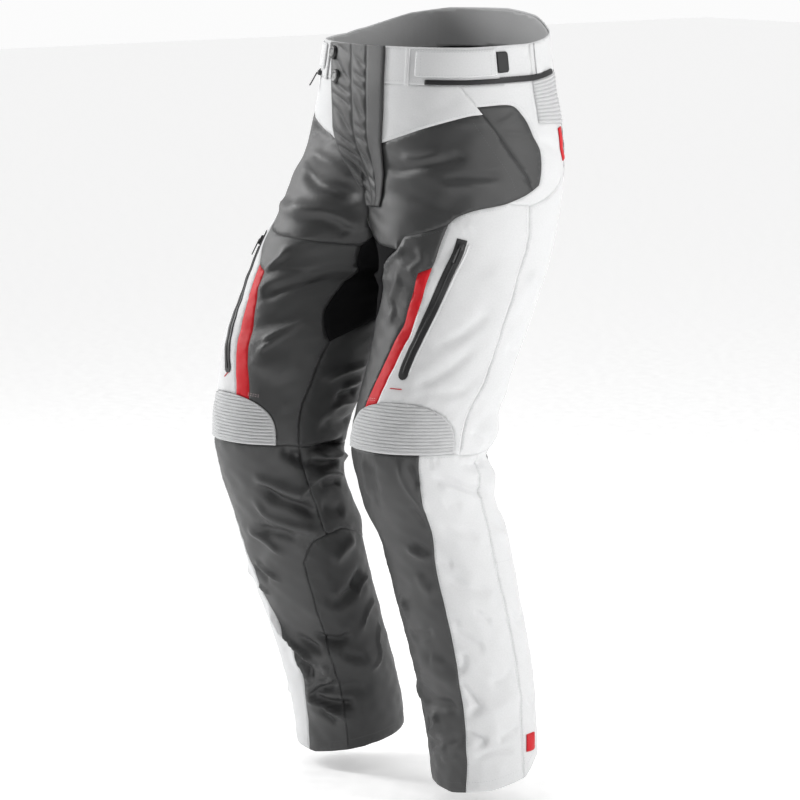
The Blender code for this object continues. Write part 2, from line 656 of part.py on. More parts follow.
def pulled_in(points, normals, count, amount):
    """Moves the first count points, a closed edge, inwards along the cloth."""
    edge = points[:count]
    ahead, behind = np.roll(edge, -1, axis=0), np.roll(edge, 1, axis=0)
    sides = []
    for start, end in ((behind, edge), (edge, ahead)):
        run = end - start
        run /= np.linalg.norm(run, axis=1, keepdims=True)
        sides.append(np.cross(normals[:count], run))
    middle = sides[0] + sides[1]
    size = np.linalg.norm(middle, axis=1, keepdims=True)
    middle = np.where(size > 0.35, middle / np.maximum(size, 0.35) * 2.0 / np.maximum(size, 0.9), middle)
    area = np.cross(edge - edge.mean(axis=0), ahead - edge.mean(axis=0))
    turn_sign = np.sign((area * normals[:count]).sum())
    moved = points.copy()
    moved[:count] += turn_sign * amount * middle
    return moved


def wall(name, outline, frame, colour, wall_thick=WALL, pitch=PITCH, lift=0.0):
    """A closed cloth wall over an outline: outer face, inner face and the edge between them."""
    inside = inner_grid(outline, pitch)
    faces = triangles_of(outline, inside)
    angles = np.array([p[0] for p in outline + inside])
    heights = np.array([p[1] for p in outline + inside])
    points, normals = frame(angles, heights, lift)
    points = pulled_in(points, normals, len(outline), SEAM_GAP / 2)
    return closed_wall(name, points, points - wall_thick * normals, faces, faces, len(outline), colour)


def closed_wall(name, outer, inner, outer_faces, inner_faces, count, colour):
    """Joins two skins whose first count points are the same closed edge."""
    offset = len(outer)
    faces = [tuple(f) for f in outer_faces]
    faces += [tuple(k + offset for k in reversed(f)) for f in inner_faces]
    # The edge faces run against the way the outer faces use each edge
    used = {(f[k], f[(k + 1) % len(f)]) for f in outer_faces for k in range(len(f))}
    for k in range(count):
        start, end = k, (k + 1) % count
        if (start, end) not in used:
            start, end = end, start
        faces.append((end, start, start + offset, end + offset))
    return make_object(name, np.vstack([outer, inner]), faces, colour)


def ribbed(name, side, rows, colour, inset=SEAM_GAP / 2, base_wall=0.0022):
    """A wall with raised ribs outside and a plain inside. Rows are lists of places from one edge of the
    panel to the other, two rows for each rib."""
    height, width = len(rows), len(rows[0])
    ring = [(0, c) for c in range(width)] + [(r, width - 1) for r in range(1, height)]
    ring += [(height - 1, c) for c in range(width - 2, -1, -1)] + [(r, 0) for r in range(height - 2, 0, -1)]
    inner_spots = [(r, c) for r in range(1, height - 1) for c in range(1, width - 1)]
    order = {spot: k for k, spot in enumerate(ring + inner_spots)}
    places = [rows[r][c] for r, c in order]
    angles = np.array([p[0] for p in places])
    heights = np.array([p[1] for p in places])
    points, normals = leg_frame(side, angles, heights)
    points = pulled_in(points, normals, len(ring), inset)
    crest = np.array([RIB_DEPTH if r % 2 and 0 < r < height - 1 and 0 < c < width - 1 else 0.0
                      for r, c in order])
    faces = []
    for r in range(height - 1):
        for c in range(width - 1):
            a, b = order[(r, c)], order[(r, c + 1)]
            d, e = order[(r + 1, c)], order[(r + 1, c + 1)]
            faces += [(a, b, e), (a, e, d)]
    # The plain inside uses every fourth row
    keep = [k for k, (r, c) in enumerate(order) if k < len(ring) or (r % 4 == 2 and c % 2 == 0)]
    inner_places = [places[k] for k in keep]
    inner_faces = triangles_of(inner_places[:len(ring)], inner_places[len(ring):])
    outer = points + crest[:, None] * normals
    inner = (points - base_wall * normals)[keep]
    inner_faces = match_turn(inner_faces, faces)
    return closed_wall(name, outer, inner, faces, inner_faces, len(ring), colour)


def match_turn(inner_faces, outer_faces):
    """Gives the inner triangles the same turn as the outer ones, read on the shared edge."""
    used = {(f[k], f[(k + 1) % 3]) for f in outer_faces for k in range(3)}
    first = (0, 1) if (0, 1) in used else (1, 0)
    for f in inner_faces:
        pairs = {(f[k], f[(k + 1) % 3]) for k in range(3)}
        if first in pairs:
            return inner_faces
        if first[::-1] in pairs:
            return [tuple(reversed(face)) for face in inner_faces]
    return inner_faces


def ribbon(name, frame, path, sizes, lift, colour):
    """A flat strip that follows the cloth along a path of places. sizes is one (half width, thickness)
    for the whole strip or a list with one for each place."""
    if isinstance(sizes, tuple):
        sizes = [sizes] * len(path)
    angles = np.array([p[0] for p in path])
    heights = np.array([p[1] for p in path])
    points, normals = frame(angles, heights, lift)
    run = np.gradient(points, axis=0)
    run /= np.linalg.norm(run, axis=1, keepdims=True)
    across = np.cross(normals, run)
    vertices, faces = [], []
    for k in range(len(path)):
        wide, high = sizes[k]
        for side_sign, up in ((-1, 0.0), (1, 0.0), (1, high), (-1, high)):
            vertices.append(points[k] + side_sign * wide * across[k] + up * normals[k])
    for k in range(len(path) - 1):
        base = 4 * k
        for j in range(4):
            faces.append((base + j, base + (j + 1) % 4, base + 4 + (j + 1) % 4, base + 4 + j))
    last = 4 * (len(path) - 1)
    faces += [(3, 2, 1, 0), (last, last + 1, last + 2, last + 3)]
    return make_object(name, vertices, faces, colour)


# Panels of one leg: node, colour, seams round it
PANELS = (
    ("upper_front", "white", ("band_0", "pocket_band", "pocket_top", "-upper_hem", "-upper_middle",
                              "-middle_upper")),
    ("hip_front", "grey", ("upper_middle", "upper_hem", "pocket_mouth", "yoke_side", "yoke_bottom",
                           "crotch_front", "gusset_top", "-middle_hip")),
    ("pocket_facing", "grey", ("yoke_outer", "yoke_foot", "-pocket_mouth", "-pocket_top")),
    ("hip_side", "white", ("band_1", "accordion_front", "accordion_bottom", "hip_back", "-hip_hem_back",
                           "-hip_hem_front", "-yoke_side", "-yoke_foot", "-yoke_outer", "-pocket_band")),
    ("seat", "dark", ("band_3", "middle_seat", "-seat_foot", "-seat_side", "-hip_back", "-accordion_back")),
    ("gusset", "black", ("gusset_top", "crotch", "-gusset_back", "-gusset_edge")),
    ("thigh_front", "grey", ("-crotch_front", "side_edge", "stripe_top", "stripe_inner", "arch_inner",
                             "knee_inner", "-inseam", "-gusset_edge")),
    ("thigh_stripe", "red", ("-stripe_top", "stripe_outer", "arch_stripe", "-stripe_inner")),
    ("thigh_side", "white", ("-yoke_bottom", "hip_hem_front", "side_seam", "-knee_outer", "arch_outer",
                             "-stripe_outer", "-side_edge")),
    ("thigh_rear", "white", ("hip_hem_back", "seat_side", "rear_edge", "-knee_rear", "-knee_gap",
                             "-side_seam")),
    ("thigh_back", "dark", ("seat_foot", "-gusset_back@", "inseam@", "-knee_back", "-rear_edge")),
    ("shin_front", "grey", ("-knee_inner", "base_front", "shin_front_seam", "-hem_front", "-calf_front",
                            "-calf_top_front", "-shin_inseam")),
    ("shin_side", "white", ("base_side", "knee_outer", "knee_gap", "shin_side_seam", "-hem_side",
                            "-shin_front_seam")),
    ("calf_rear", "white", ("knee_rear", "shin_rear_edge", "-hem_rear", "-shin_side_seam")),
    ("shin_back", "dark", ("knee_back", "shin_inseam@", "calf_top_back@", "calf_back@", "-hem_back",
                           "-shin_rear_edge")),
    ("calf_inner", "dark", ("calf_top_front", "calf_front", "-hem_calf", "-calf_back", "-calf_top_back")),
)


def make_panels(side, pattern):
    on_leg = lambda a, h, lift: leg_frame(side, a, h, lift)
    for name, colour, seams in PANELS:
        wall(f"{name}_{side}", pattern.outline(*seams), on_leg, colour)


def make_knee(side):
    """Fifteen ribs, each two rows high, cut to the arch at both ends."""
    rows = []
    for row in range(2 * KNEE_RIBS + 1):
        share = row / (2 * KNEE_RIBS)
        up = min(share, 0.985)
        spread = KNEE_HALF * math.sqrt(1.0 - up ** KNEE_POWER)
        angles = KNEE_CENTRE + spread * np.linspace(-1.0, 1.0, KNEE_COLUMNS + 1)
        rows.append([(float(a), KNEE_BASE + KNEE_HEIGHT * up) for a in angles])
    ribbed(f"knee_accordion_{side}", side, rows, "white", inset=KNEE_INSET)


def make_hip_accordion(side, pattern):
    top = np.array(pattern.lines["band_2"])
    ends = pattern.lines["accordion_bottom"]
    bottom = np.linspace(ends[0], ends[-1], len(top))
    rows = []
    for row in range(2 * HIP_RIBS + 1):
        share = row / (2 * HIP_RIBS)
        rows.append([tuple(place) for place in top + share * (bottom - top)])
    ribbed(f"hip_accordion_{side}", side, rows, "white")


def around_back(angle, height, lift=0.0, inset=0.0):
    """Frame on the waist, with angles past 180 on the right side."""
    angle, height = np.asarray(angle, float), np.asarray(height, float)
    left = angle <= 180.0
    own_l = leg_frame("L", np.where(left, angle, 90.0), height, lift)
    own_r = leg_frame("R", np.where(left, 90.0, 360.0 - angle), height, lift)
    point, normal = [np.where(left[..., None], one, two) for one, two in zip(own_l, own_r)]
    return point - inset * normal, normal


def back_rim(angle):
    return float(rim("L", angle) if angle <= 180.0 else rim("R", 360.0 - angle))


def make_waist(patterns):
    for side, pattern in patterns.items():
        on_leg = lambda a, h, lift, side=side: leg_frame(side, a, h, lift)
        outline = pattern.outline("rim_0", "rim_1", "band_side", "-band_1", "-band_0", "-middle_band")
        wall(f"waistband_front_{side}", outline, on_leg, "white")
    top, bottom = [], []
    for side, flip in (("L", False), ("R", True)):
        for kind, store in (("rim", top), ("band", bottom)):
            lines = patterns[side].lines
            line = lines[f"{kind}_2"] + lines[f"{kind}_3"][1:]
            line = [(360.0 - a, h) for a, h in reversed(line)][1:] if flip else line
            store.extend(line)
    wall("waistband_back", top + bottom[::-1], around_back, "white")
    angles = np.linspace(LINING_SIDE, 360.0 - LINING_SIDE, LINING_COLUMNS + 1)
    top = [(float(a), back_rim(a) - 0.003) for a in angles]
    bottom = [(float(a), back_rim(a) - LINING_DROP) for a in angles]
    inside = lambda a, h, lift: around_back(a, h, lift, inset=WALL + LINING_GAP)
    wall("waist_lining", top + bottom[::-1], inside, "lining", wall_thick=LINING_WALL)


def band_zip_place(side, angle):
    return (angle, float(rim(side, angle)) - BAND_HEIGHT + BAND_ZIP_UP)


def make_waist_trim(side):
    on_leg = lambda a, h, lift: leg_frame(side, a, h, lift)
    strap = [(a, float(rim(side, a)) - STRAP_DROP) for a in np.linspace(30.0, 77.5, 9)]
    ribbon(f"waist_strap_{side}", on_leg, strap, (0.018, 0.0018), WAIST_LIFT, "white")
    hook = [(a, float(rim(side, a)) - STRAP_DROP) for a in np.linspace(78.2, 84.5, 3)]
    ribbon(f"strap_hook_{side}", on_leg, hook, (0.0145, 0.0026), WAIST_LIFT, "black")
    angles = list(np.linspace(*BAND_ZIP_ENDS, BAND_ZIP_STATIONS))
    sizes = [BAND_ZIP_SIZE] * len(angles)
    if side == "R":
        start, end = BAND_SLIDER
        angles[1:1] = [start - 0.1, start + 0.1, end - 0.1, end + 0.1]
        sizes[1:1] = [BAND_ZIP_SIZE, BAND_SLIDER_SIZE, BAND_SLIDER_SIZE, BAND_ZIP_SIZE]
    path = [band_zip_place(side, angle) for angle in angles]
    ribbon(f"band_zip_{side}", on_leg, path, sizes, WAIST_LIFT, "black")
    loop = [(25.5, h) for h in np.linspace(-0.002, -0.051, 4)]
    ribbon(f"belt_loop_{side}", on_leg, loop, (0.0032, 0.0016), WAIST_LIFT, "white")


def make_small_trim(side):
    on_leg = lambda a, h, lift: leg_frame(side, a, h, lift)
    piping = smooth_line([(118.5, -0.113), (121, -0.135), (126, -0.157)], 0.012)
    ribbon(f"hip_piping_{side}", on_leg, piping, (0.0060, 0.0014), TRIM_LIFT, "red")
    tab = [(a, -0.944) for a in np.linspace(95.0, 110.0, 3)]
    ribbon(f"hem_tab_{side}", on_leg, tab, (0.0120, 0.0016), TRIM_LIFT, "red")


def zip_frame(side):
    """Place and axes of the pull tab: its hinge, its run down the zip, the width across and the normal."""
    fine = smooth_line(PLACES[side]["zip"], 0.001)
    spots = np.array([fine[PULL_HINGE], fine[PULL_HINGE + 20]])
    lift = TRIM_LIFT + SLIDER_THICK + PULL_GAP + 0.5 * PULL_THICK
    points, normals = leg_frame(side, spots[:, 0], spots[:, 1], lift)
    run = points[1] - points[0]
    hinge, normal = points[0], normals[0]
    run -= normal * run.dot(normal)
    run /= np.linalg.norm(run)
    return leaned(hinge, run, np.cross(normal, run), normal, PULL_LEAN)


def leaned(hinge, run, across, normal, degrees):
    """A tab's frame turned about its hinge so that its free end stands off the cloth."""
    lean = math.radians(degrees)
    turned_run = math.cos(lean) * run + math.sin(lean) * normal
    return hinge, turned_run, across, np.cross(turned_run, across)


def band_pull_frame(side="R"):
    """The same for the band zip's tab, which hangs down and leans off the cloth."""
    spots = np.array([band_zip_place(side, a) for a in (sum(BAND_SLIDER) / 2, BAND_SLIDER[1])])
    lift = WAIST_LIFT + BAND_SLIDER_SIZE[1] + PULL_GAP + 0.5 * PULL_THICK
    points, normals = leg_frame(side, spots[:, 0], spots[:, 1], lift)
    down = np.cross(normals[0], points[1] - points[0])
    down *= -np.sign(down[2]) / np.linalg.norm(down)
    return leaned(points[0], down, np.cross(normals[0], down), normals[0], BAND_PULL_LEAN)


def make_pull(name, frame, length):
    """A pull tab with a cut end, placed by its hinge."""
    hinge, run, across, normal = frame
    half = 0.5 * PULL_WIDTH
    outline = [(0.0, half), (length - 0.002, half), (length, 0.5 * half)]
    outline += [(x, -y) for x, y in reversed(outline)]
    vertices = [(x, y, z) for z in (-0.5 * PULL_THICK, 0.5 * PULL_THICK) for x, y in outline]
    count = len(outline)
    faces = [tuple(range(count)), tuple(range(2 * count - 1, count - 1, -1))]
    faces += [(k, k + count, (k + 1) % count + count, (k + 1) % count) for k in range(count)]
    tab = make_object(name, vertices, faces, "black")
    place = Matrix((Vector(run), Vector(across), Vector(normal))).transposed().to_4x4()
    place.translation = Vector(hinge)
    tab.matrix_world = place


def make_thigh_zip(side):
    """Zip tape with the slider near its top, and the pull tab hinged on the slider."""
    on_leg = lambda a, h, lift: leg_frame(side, a, h, lift)
    fine = smooth_line(PLACES[side]["zip"], 0.001)
    last = len(fine) - 1
    stations = [0, 3, 6, 7, 16, 17, *range(30, last - 6, 13), last - 3, last]
    path = [fine[k] for k in stations]
    bumps = [(ZIP_HALF * (0.6 if k in (0, last) else 1.0), SLIDER_THICK if k in (7, 16) else ZIP_THICK)
             for k in stations]
    ribbon(f"thigh_zip_{side}", on_leg, path, bumps, TRIM_LIFT, "black")
    make_pull(f"zip_pull_{side}", zip_frame(side), PULL_LENGTH)


def front_point(x, height):
    """Front of the seat at a signed x, with the hollow at the middle bridged."""
    x, height = np.broadcast_arrays(np.asarray(x, float), np.asarray(height, float))
    across = x - swell(LEAN, height)
    out = np.sqrt(across ** 2 + FLAP_BRIDGE ** 2)
    result = np.zeros(x.shape + (3,))
    for side, own in SIDES.items():
        chosen = (across >= 0.0) if own > 0 else (across < 0.0)
        centre, _, half, _, _, power = section(side, height)
        share = np.clip((out - centre) / half, -0.98, 0.98)
        angle = np.degrees(np.arcsin(np.sign(share) * np.abs(share) ** (power / 2.0)))
        point = plain_point(side, angle - own * turn(height), height)
        result[chosen] = point[chosen]
    result[..., 0] = x
    result[..., 2] = height
    return result


def flap_frame(x, height, lift=0.0):
    point, normal = frame_at(front_point, x, height, small=(0.002, 0.002))
    return point + lift * normal, normal


def make_flap():
    """The fly flap lies over both fronts, sewn along its left edge and free along the other."""
    share = np.linspace(0.0, 1.0, FLAP_ROWS + 1)
    edges = []
    for line in (FLAP_FREE, FLAP_SEWN):
        table = np.array(line)
        heights = table[0, 1] + share * (table[-1, 1] - table[0, 1])
        edges.append(np.stack([np.interp(-heights, -table[:, 1], table[:, 0]), heights], axis=1))
    grid = [[e0 + t * (e1 - e0) for t in np.linspace(0, 1, FLAP_COLUMNS + 1)] for e0, e1 in zip(*edges)]
    spots = np.array(grid)
    outer, normals = flap_frame(spots[..., 0], spots[..., 1], FLAP_LIFT)
    inner = outer - FLAP_WALL * normals
    rows, columns = spots.shape[:2]
    faces = []
    for r in range(rows - 1):
        for c in range(columns - 1):
            k = r * columns + c
            faces.append((k, k + 1, k + columns + 1, k + columns))
    ring = [c for c in range(columns)] + [r * columns + columns - 1 for r in range(1, rows)]
    ring += [(rows - 1) * columns + c for c in range(columns - 2, -1, -1)]
    ring += [r * columns for r in range(rows - 2, 0, -1)]
    offset = rows * columns
    all_faces = faces + [tuple(k + offset for k in reversed(f)) for f in faces]
    for k, start in enumerate(ring):
        end = ring[(k + 1) % len(ring)]
        all_faces.append((end, start, start + offset, end + offset))
    make_object("fly_flap", np.vstack([outer.reshape(-1, 3), inner.reshape(-1, 3)]), all_faces, "grey")


def make_snap(name, x, height, radius):
    """A round cap with a bevelled top, seated on the flap."""
    point, normal = flap_frame(np.array([x]), np.array([height]), FLAP_LIFT + SNAP_LIFT)
    vertices, faces = [], []
    for up, size in SNAP_PROFILE:
        for k in range(SNAP_SIDES):
            t = 2.0 * math.pi * k / SNAP_SIDES
            vertices.append((radius * size * math.cos(t), radius * size * math.sin(t), up * SNAP_THICK))
    for ring in range(len(SNAP_PROFILE) - 1):
        for k in range(SNAP_SIDES):
            a, b = ring * SNAP_SIDES + k, ring * SNAP_SIDES + (k + 1) % SNAP_SIDES
            faces.append((a, b, b + SNAP_SIDES, a + SNAP_SIDES))
    faces += [tuple(reversed(range(SNAP_SIDES))), tuple(range(2 * SNAP_SIDES, 3 * SNAP_SIDES))]
    cap = make_object(name, vertices, faces, "black")
    turned = Vector(normal[0]).to_track_quat("Z", "Y").to_matrix().to_4x4()
    cap.matrix_world = Matrix.Translation(Vector(point[0])) @ turned


def main():
    patterns = {side: Pattern(side) for side in SIDES}
    make_waist(patterns)
    for side, pattern in patterns.items():
        make_panels(side, pattern)
        make_knee(side)
        make_hip_accordion(side, pattern)
        make_waist_trim(side)
        make_small_trim(side)
        make_thigh_zip(side)
    make_pull("band_pull_R", band_pull_frame(), BAND_PULL_LENGTH)
    make_flap()
    for name, row in SNAPS.items():
        make_snap(name, *row)


main()
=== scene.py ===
"""Motorcycle trousers: fine cloth, trim, materials, light and camera over the CAD frame.

The tables and the surface are those of the part's source. A place on a leg is an angle round it
(0 front, 90 outer side, 180 back, negative on the inner side) and a height in metres.
"""

import json
import math

import bpy
import numpy as np
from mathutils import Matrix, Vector
from mathutils.geometry import delaunay_2d_cdt

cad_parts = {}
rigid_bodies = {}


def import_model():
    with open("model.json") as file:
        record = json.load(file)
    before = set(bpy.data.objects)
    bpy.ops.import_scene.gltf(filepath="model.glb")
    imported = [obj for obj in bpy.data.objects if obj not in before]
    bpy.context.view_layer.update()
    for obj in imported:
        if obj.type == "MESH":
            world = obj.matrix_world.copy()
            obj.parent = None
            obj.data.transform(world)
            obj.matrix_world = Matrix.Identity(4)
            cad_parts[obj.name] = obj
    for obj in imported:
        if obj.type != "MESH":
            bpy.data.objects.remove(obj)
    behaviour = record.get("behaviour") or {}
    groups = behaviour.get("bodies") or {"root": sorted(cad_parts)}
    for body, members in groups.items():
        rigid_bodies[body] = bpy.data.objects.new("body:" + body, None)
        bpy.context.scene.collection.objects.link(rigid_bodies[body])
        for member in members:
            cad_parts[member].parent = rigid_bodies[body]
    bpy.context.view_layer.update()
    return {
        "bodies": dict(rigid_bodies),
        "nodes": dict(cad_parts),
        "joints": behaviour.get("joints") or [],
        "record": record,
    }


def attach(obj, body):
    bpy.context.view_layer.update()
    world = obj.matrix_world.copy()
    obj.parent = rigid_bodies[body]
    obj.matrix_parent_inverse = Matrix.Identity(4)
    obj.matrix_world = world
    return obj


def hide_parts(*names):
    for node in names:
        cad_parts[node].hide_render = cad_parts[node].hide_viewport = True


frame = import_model()

# Sizes shared with the part
SEAM_GAP = 0.0003
TRIM_LIFT = 0.0005
WAIST_LIFT = 0.0009
ARC = math.radians(1.0) * 0.105
BAND_HEIGHT = 0.050
BAND_SIDE = 97.0
BAND_BACK = 127.0
LINING_SIDE = 46.0
LINING_DROP = 0.054
LINING_WALL = 0.0012
LINING_INSET = 0.0032
LINING_COLUMNS = 90
STRAP_DROP = 0.022
CROTCH_RUN = 0.19
KNEE_CENTRE = 16.0
KNEE_HALF = 56.0
KNEE_HEIGHT = 0.067
KNEE_BASE = -0.534
KNEE_POWER = 2.6
KNEE_RIBS = 15
KNEE_COLUMNS = 66
KNEE_FINE = 84
KNEE_BORDER = 0.0040
KNEE_SPLIT = 48
HIP_RIBS = 12
HIP_FINE = 30
HIP_BORDER = 0.0012
RIB_DEPTH = 0.0022
ZIP_HALF = 0.0072
ZIP_THICK = 0.0012
SLIDER_THICK = 0.0042
PULL_LENGTH = 0.026
PULL_WIDTH = 0.0055
PULL_THICK = 0.0015
PULL_GAP = 0.0003
PULL_HINGE = 11
PULL_LEAN = 4.0
BAND_ZIP_ENDS = (36.0, 118.0)
BAND_ZIP_UP = 0.0035
BAND_SLIDER = (37.4, 41.2)
BAND_ZIP_SIZE = (0.0034, 0.0016)
BAND_SLIDER_SIZE = (0.0034, 0.0036)
BAND_PULL_LENGTH = 0.021
BAND_PULL_LEAN = 22.0
SIDE_LOOP = 103.0
GATHER_DEPTH = 0.0005
GATHER_COUNT = 90
GATHER_SPAN = (20.0, 76.0)
GATHER_FADE = 12.0
# Snap profile as shares of radius and height
SNAP_DOME = ((1.08, 0.0), (1.12, 0.30), (1.06, 0.75), (0.92, 1.10), (0.76, 1.25), (0.60, 1.12),
             (0.45, 1.05), (0.25, 1.10), (0.08, 1.12))
SNAP_ROUND = 48
# Flap quilting: from and to across the flap, slope down it, height, start
FLAP_QUILT = ((0.03, 0.42, 0.115, 0.0044, 0.10), (0.48, 0.70, 0.070, 0.0034, 0.55))
FLAP_SEAMS = (0.45, 0.72)
FLAP_PITCH = 0.105
FLAP_SEAM_DIP = 0.0011
FLAP_SEAM_HALF = 0.016
FLAP_HEMS = (0.045, 0.955)
FLAP_SIZE = (0.11, 0.20)
FLAP_EDGE_DIP = 0.0009
FLAP_EDGE_HALF = 0.0016
FLAP_BACK = 0.0016
FLAP_GRID = (71, 121)
# Places on the waist: angles of a strap, its sewn lines, its hook and a belt loop, and drops below the rim
STRAP_SPAN = (30.0, 77.5)
STRAP_SEWN = (31.0, 33.4, 74.0, 76.4)
STRAP_SEAM = 0.0155
HOOK_SPAN = (77.9, 84.5)
LOOP_ANGLE = 25.5
LOOP_DROPS = (-0.0015, -0.0515)
SIDE_LOOP_DROPS = (-0.0015, -0.0475)
BAND_SEWN = (0.0035, 0.0455)
TEETH_SPAN = (78.5, 117.0)
# Pull tab outline as shares of its length and half width, and its levels as shares of its thickness
PULL_OUTLINE = ((0.0, 0.62), (0.10, 0.70), (0.25, 0.95), (0.35, 1.0), (0.90, 1.0), (0.97, 0.86),
                (1.0, 0.55))
PULL_LEVELS = ((-0.5, 0.80), (-0.32, 1.0), (0.32, 1.0), (0.5, 0.86), (0.5, 0.66), (0.25, 0.56))
PULL_SHORTEN = 0.3
# Hem tab: angles across it and its height
HEM_TAB_SPAN = (95.0, 110.0)
HEM_TAB_HEIGHT = -0.944
PIPING = ((118.5, -0.113), (121, -0.135), (126, -0.157))

# Fine cloth
STEP = 0.004
ARCH_STEP = 0.003
FINE = 0.0042
CLOTH = 0.0013
SEAM_ROLL = 0.0007
CREASE_GAIN = {"L": 1.55, "R": 2.25}
CREASE_FADE = 0.24
# Spacing of the woven threads, and the wave texture's scale for one wave a metre
WEAVE = 0.0009
WAVE_UNIT = 0.314
RIB_ROWS = 8
RIB_ROUND = 0.65
RIB_WALL = 0.0020
BORDER_SHARE = 0.95
BORDER_SLOPE = 0.0016
GROOVE_DEPTH = 0.0008
GROOVE_HALF = 0.0006
LIP_RISE = 0.0030
LIP_PLACE = 0.0026
LIP_HALF = 0.0022
LIP_END = 0.003
# How far from a seam the cloth turns down and puckers, and the pucker's depth and size
ROLL_WIDTH = 0.0022
PUCKER_WIDTH = 0.0075
PUCKER_DEPTH = 0.0006
PUCKER_SIZE = 0.010
PUCKER_SEED = 11
# Unevenness of all cloth below the waist
WAVER_FROM = -0.05
WAVER_FADE = 0.03
WAVER_DEPTH = 0.0005
WAVER_SIZE = 0.030
WAVER_SEED = 5
# Sewing thread: length of a stitch, gap, half width and height
STITCH = 0.0026
STITCH_GAP = 0.0014
THREAD_HALF = 0.00036
THREAD_HIGH = 0.00035
THREAD_LIFT = 0.0001
ROOT = "trousers"

# Camera fitted to the photo, and the studio
FRAME_PIXELS = 800
FOCAL_PIXELS = 3840
CAMERA_AZIMUTH = 50.0
CAMERA_DISTANCE = 5.3
CAMERA_HEIGHT = 0.30
CAMERA_AIM = -0.50
CAMERA_SHIFT = -37.0
SENSOR = 36.0
CAMERA_REACH = 60.0
STUDIO_MIDDLE = (0.0, -0.05, -0.50)
FLOOR = -1.035
FLOOR_SIZE = 30.0
FLOOR_WHITE = (0.96, 0.96, 0.96)
# World light, brightest behind and above: rise of its course, from and to share of it, strengths there
WORLD_RISE = 0.75
WORLD_SPREAD = (-0.10, 0.62, 0.09, 0.97)
FLOOR_GLOW = 0.27
# Light: angle round, distance, height, size, watts, colour
LIGHTS = (
    ("right", 110.0, 2.6, 0.5, (1.0, 1.4), 35.0, (1.0, 0.995, 0.99)),
    ("left", -62.0, 2.4, 0.7, (0.35, 1.5), 44.0, (1.0, 1.0, 1.0)),
    ("front", 66.0, 3.2, 0.7, (1.0, 1.0), 10.0, (1.0, 1.0, 1.0)),
)

SIDES = {"L": 1.0, "R": -1.0}

# Leg sections: height, centre out from the middle, centre y, half width, depth to the front, depth to the
# back, squareness. Above the crotch a section reaches past the middle and is cut off there.
SECTIONS = {
    "L": (
        (0.060, 0.000, 0.000, 0.167, 0.128, 0.128, 2.40),
        (0.000, 0.000, 0.000, 0.168, 0.130, 0.130, 2.40),
        (-0.060, 0.000, 0.000, 0.175, 0.138, 0.136, 2.40),
        (-0.110, 0.008, 0.000, 0.175, 0.140, 0.142, 2.40),
        (-0.170, 0.030, -0.008, 0.161, 0.138, 0.149, 2.30),
        (-0.230, 0.060, -0.020, 0.138, 0.134, 0.142, 2.20),
        (-0.290, 0.095, -0.034, 0.105, 0.126, 0.126, 2.15),
        (-0.350, 0.110, -0.055, 0.096, 0.114, 0.111, 2.10),
        (-0.410, 0.116, -0.083, 0.093, 0.104, 0.106, 2.10),
        (-0.470, 0.118, -0.111, 0.092, 0.097, 0.102, 2.10),
        (-0.530, 0.120, -0.128, 0.092, 0.095, 0.097, 2.10),
        (-0.590, 0.124, -0.124, 0.089, 0.089, 0.090, 2.10),
        (-0.650, 0.129, -0.103, 0.086, 0.084, 0.090, 2.10),
        (-0.750, 0.139, -0.081, 0.083, 0.081, 0.086, 2.10),
        (-0.850, 0.147, -0.060, 0.079, 0.078, 0.083, 2.10),
        (-0.950, 0.153, -0.049, 0.075, 0.071, 0.077, 2.10),
        (-1.050, 0.156, -0.042, 0.073, 0.069, 0.075, 2.10),
    ),
    "R": (
        (0.060, 0.000, 0.000, 0.167, 0.128, 0.128, 2.40),
        (0.000, 0.000, 0.000, 0.168, 0.130, 0.130, 2.40),
        (-0.060, 0.000, 0.000, 0.175, 0.138, 0.136, 2.40),
        (-0.110, 0.008, 0.000, 0.178, 0.142, 0.142, 2.40),
        (-0.170, 0.030, -0.010, 0.167, 0.145, 0.142, 2.30),
        (-0.230, 0.062, -0.034, 0.148, 0.150, 0.124, 2.20),
        (-0.290, 0.098, -0.062, 0.113, 0.147, 0.114, 2.15),
        (-0.350, 0.109, -0.099, 0.104, 0.138, 0.112, 2.10),
        (-0.410, 0.113, -0.135, 0.103, 0.128, 0.108, 2.10),
        (-0.470, 0.114, -0.161, 0.099, 0.109, 0.096, 2.10),
        (-0.530, 0.116, -0.182, 0.093, 0.096, 0.088, 2.10),
        (-0.590, 0.119, -0.180, 0.089, 0.086, 0.080, 2.10),
        (-0.650, 0.124, -0.159, 0.087, 0.082, 0.085, 2.10),
        (-0.750, 0.132, -0.121, 0.084, 0.082, 0.082, 2.10),
        (-0.850, 0.140, -0.081, 0.079, 0.077, 0.082, 2.10),
        (-0.950, 0.146, -0.049, 0.077, 0.074, 0.083, 2.10),
        (-1.050, 0.150, -0.035, 0.074, 0.074, 0.080, 2.10),
    ),
}

# Both legs are turned towards the wearer's left by this angle: height, degrees
TURN = ((-0.20, 0.0), (-0.28, 8.0))
# The right leg hangs lower on its section by this drop: height, drop
SLUMP = ((-0.15, 0.0), (-0.25, 0.016), (-0.45, 0.010), (-0.56, 0.010), (-0.85, 0.0))

# The middle seam leans to the wearer's left and sinks in between the hips. Each is an amount that comes in
# over a run below its top and goes out over the same run above its foot: amount, top, foot, run
LEAN = (0.008, -0.100, -0.340, 0.120)
RECESS = (0.030, -0.100, -0.420, 0.140)
# Cosine of the angle round the leg past which the front has sunk in fully
RECESS_SIDE = 0.75

# Top edge of the waist: angle, height
RIM = {
    "L": ((0, 0.000), (60, 0.000), (97, 0.003), (120, 0.010), (143, 0.020), (160, 0.034), (180, 0.041)),
    "R": ((0, 0.000), (60, 0.002), (81, 0.005), (98, 0.016), (121, 0.031), (146, 0.039), (180, 0.041)),
}
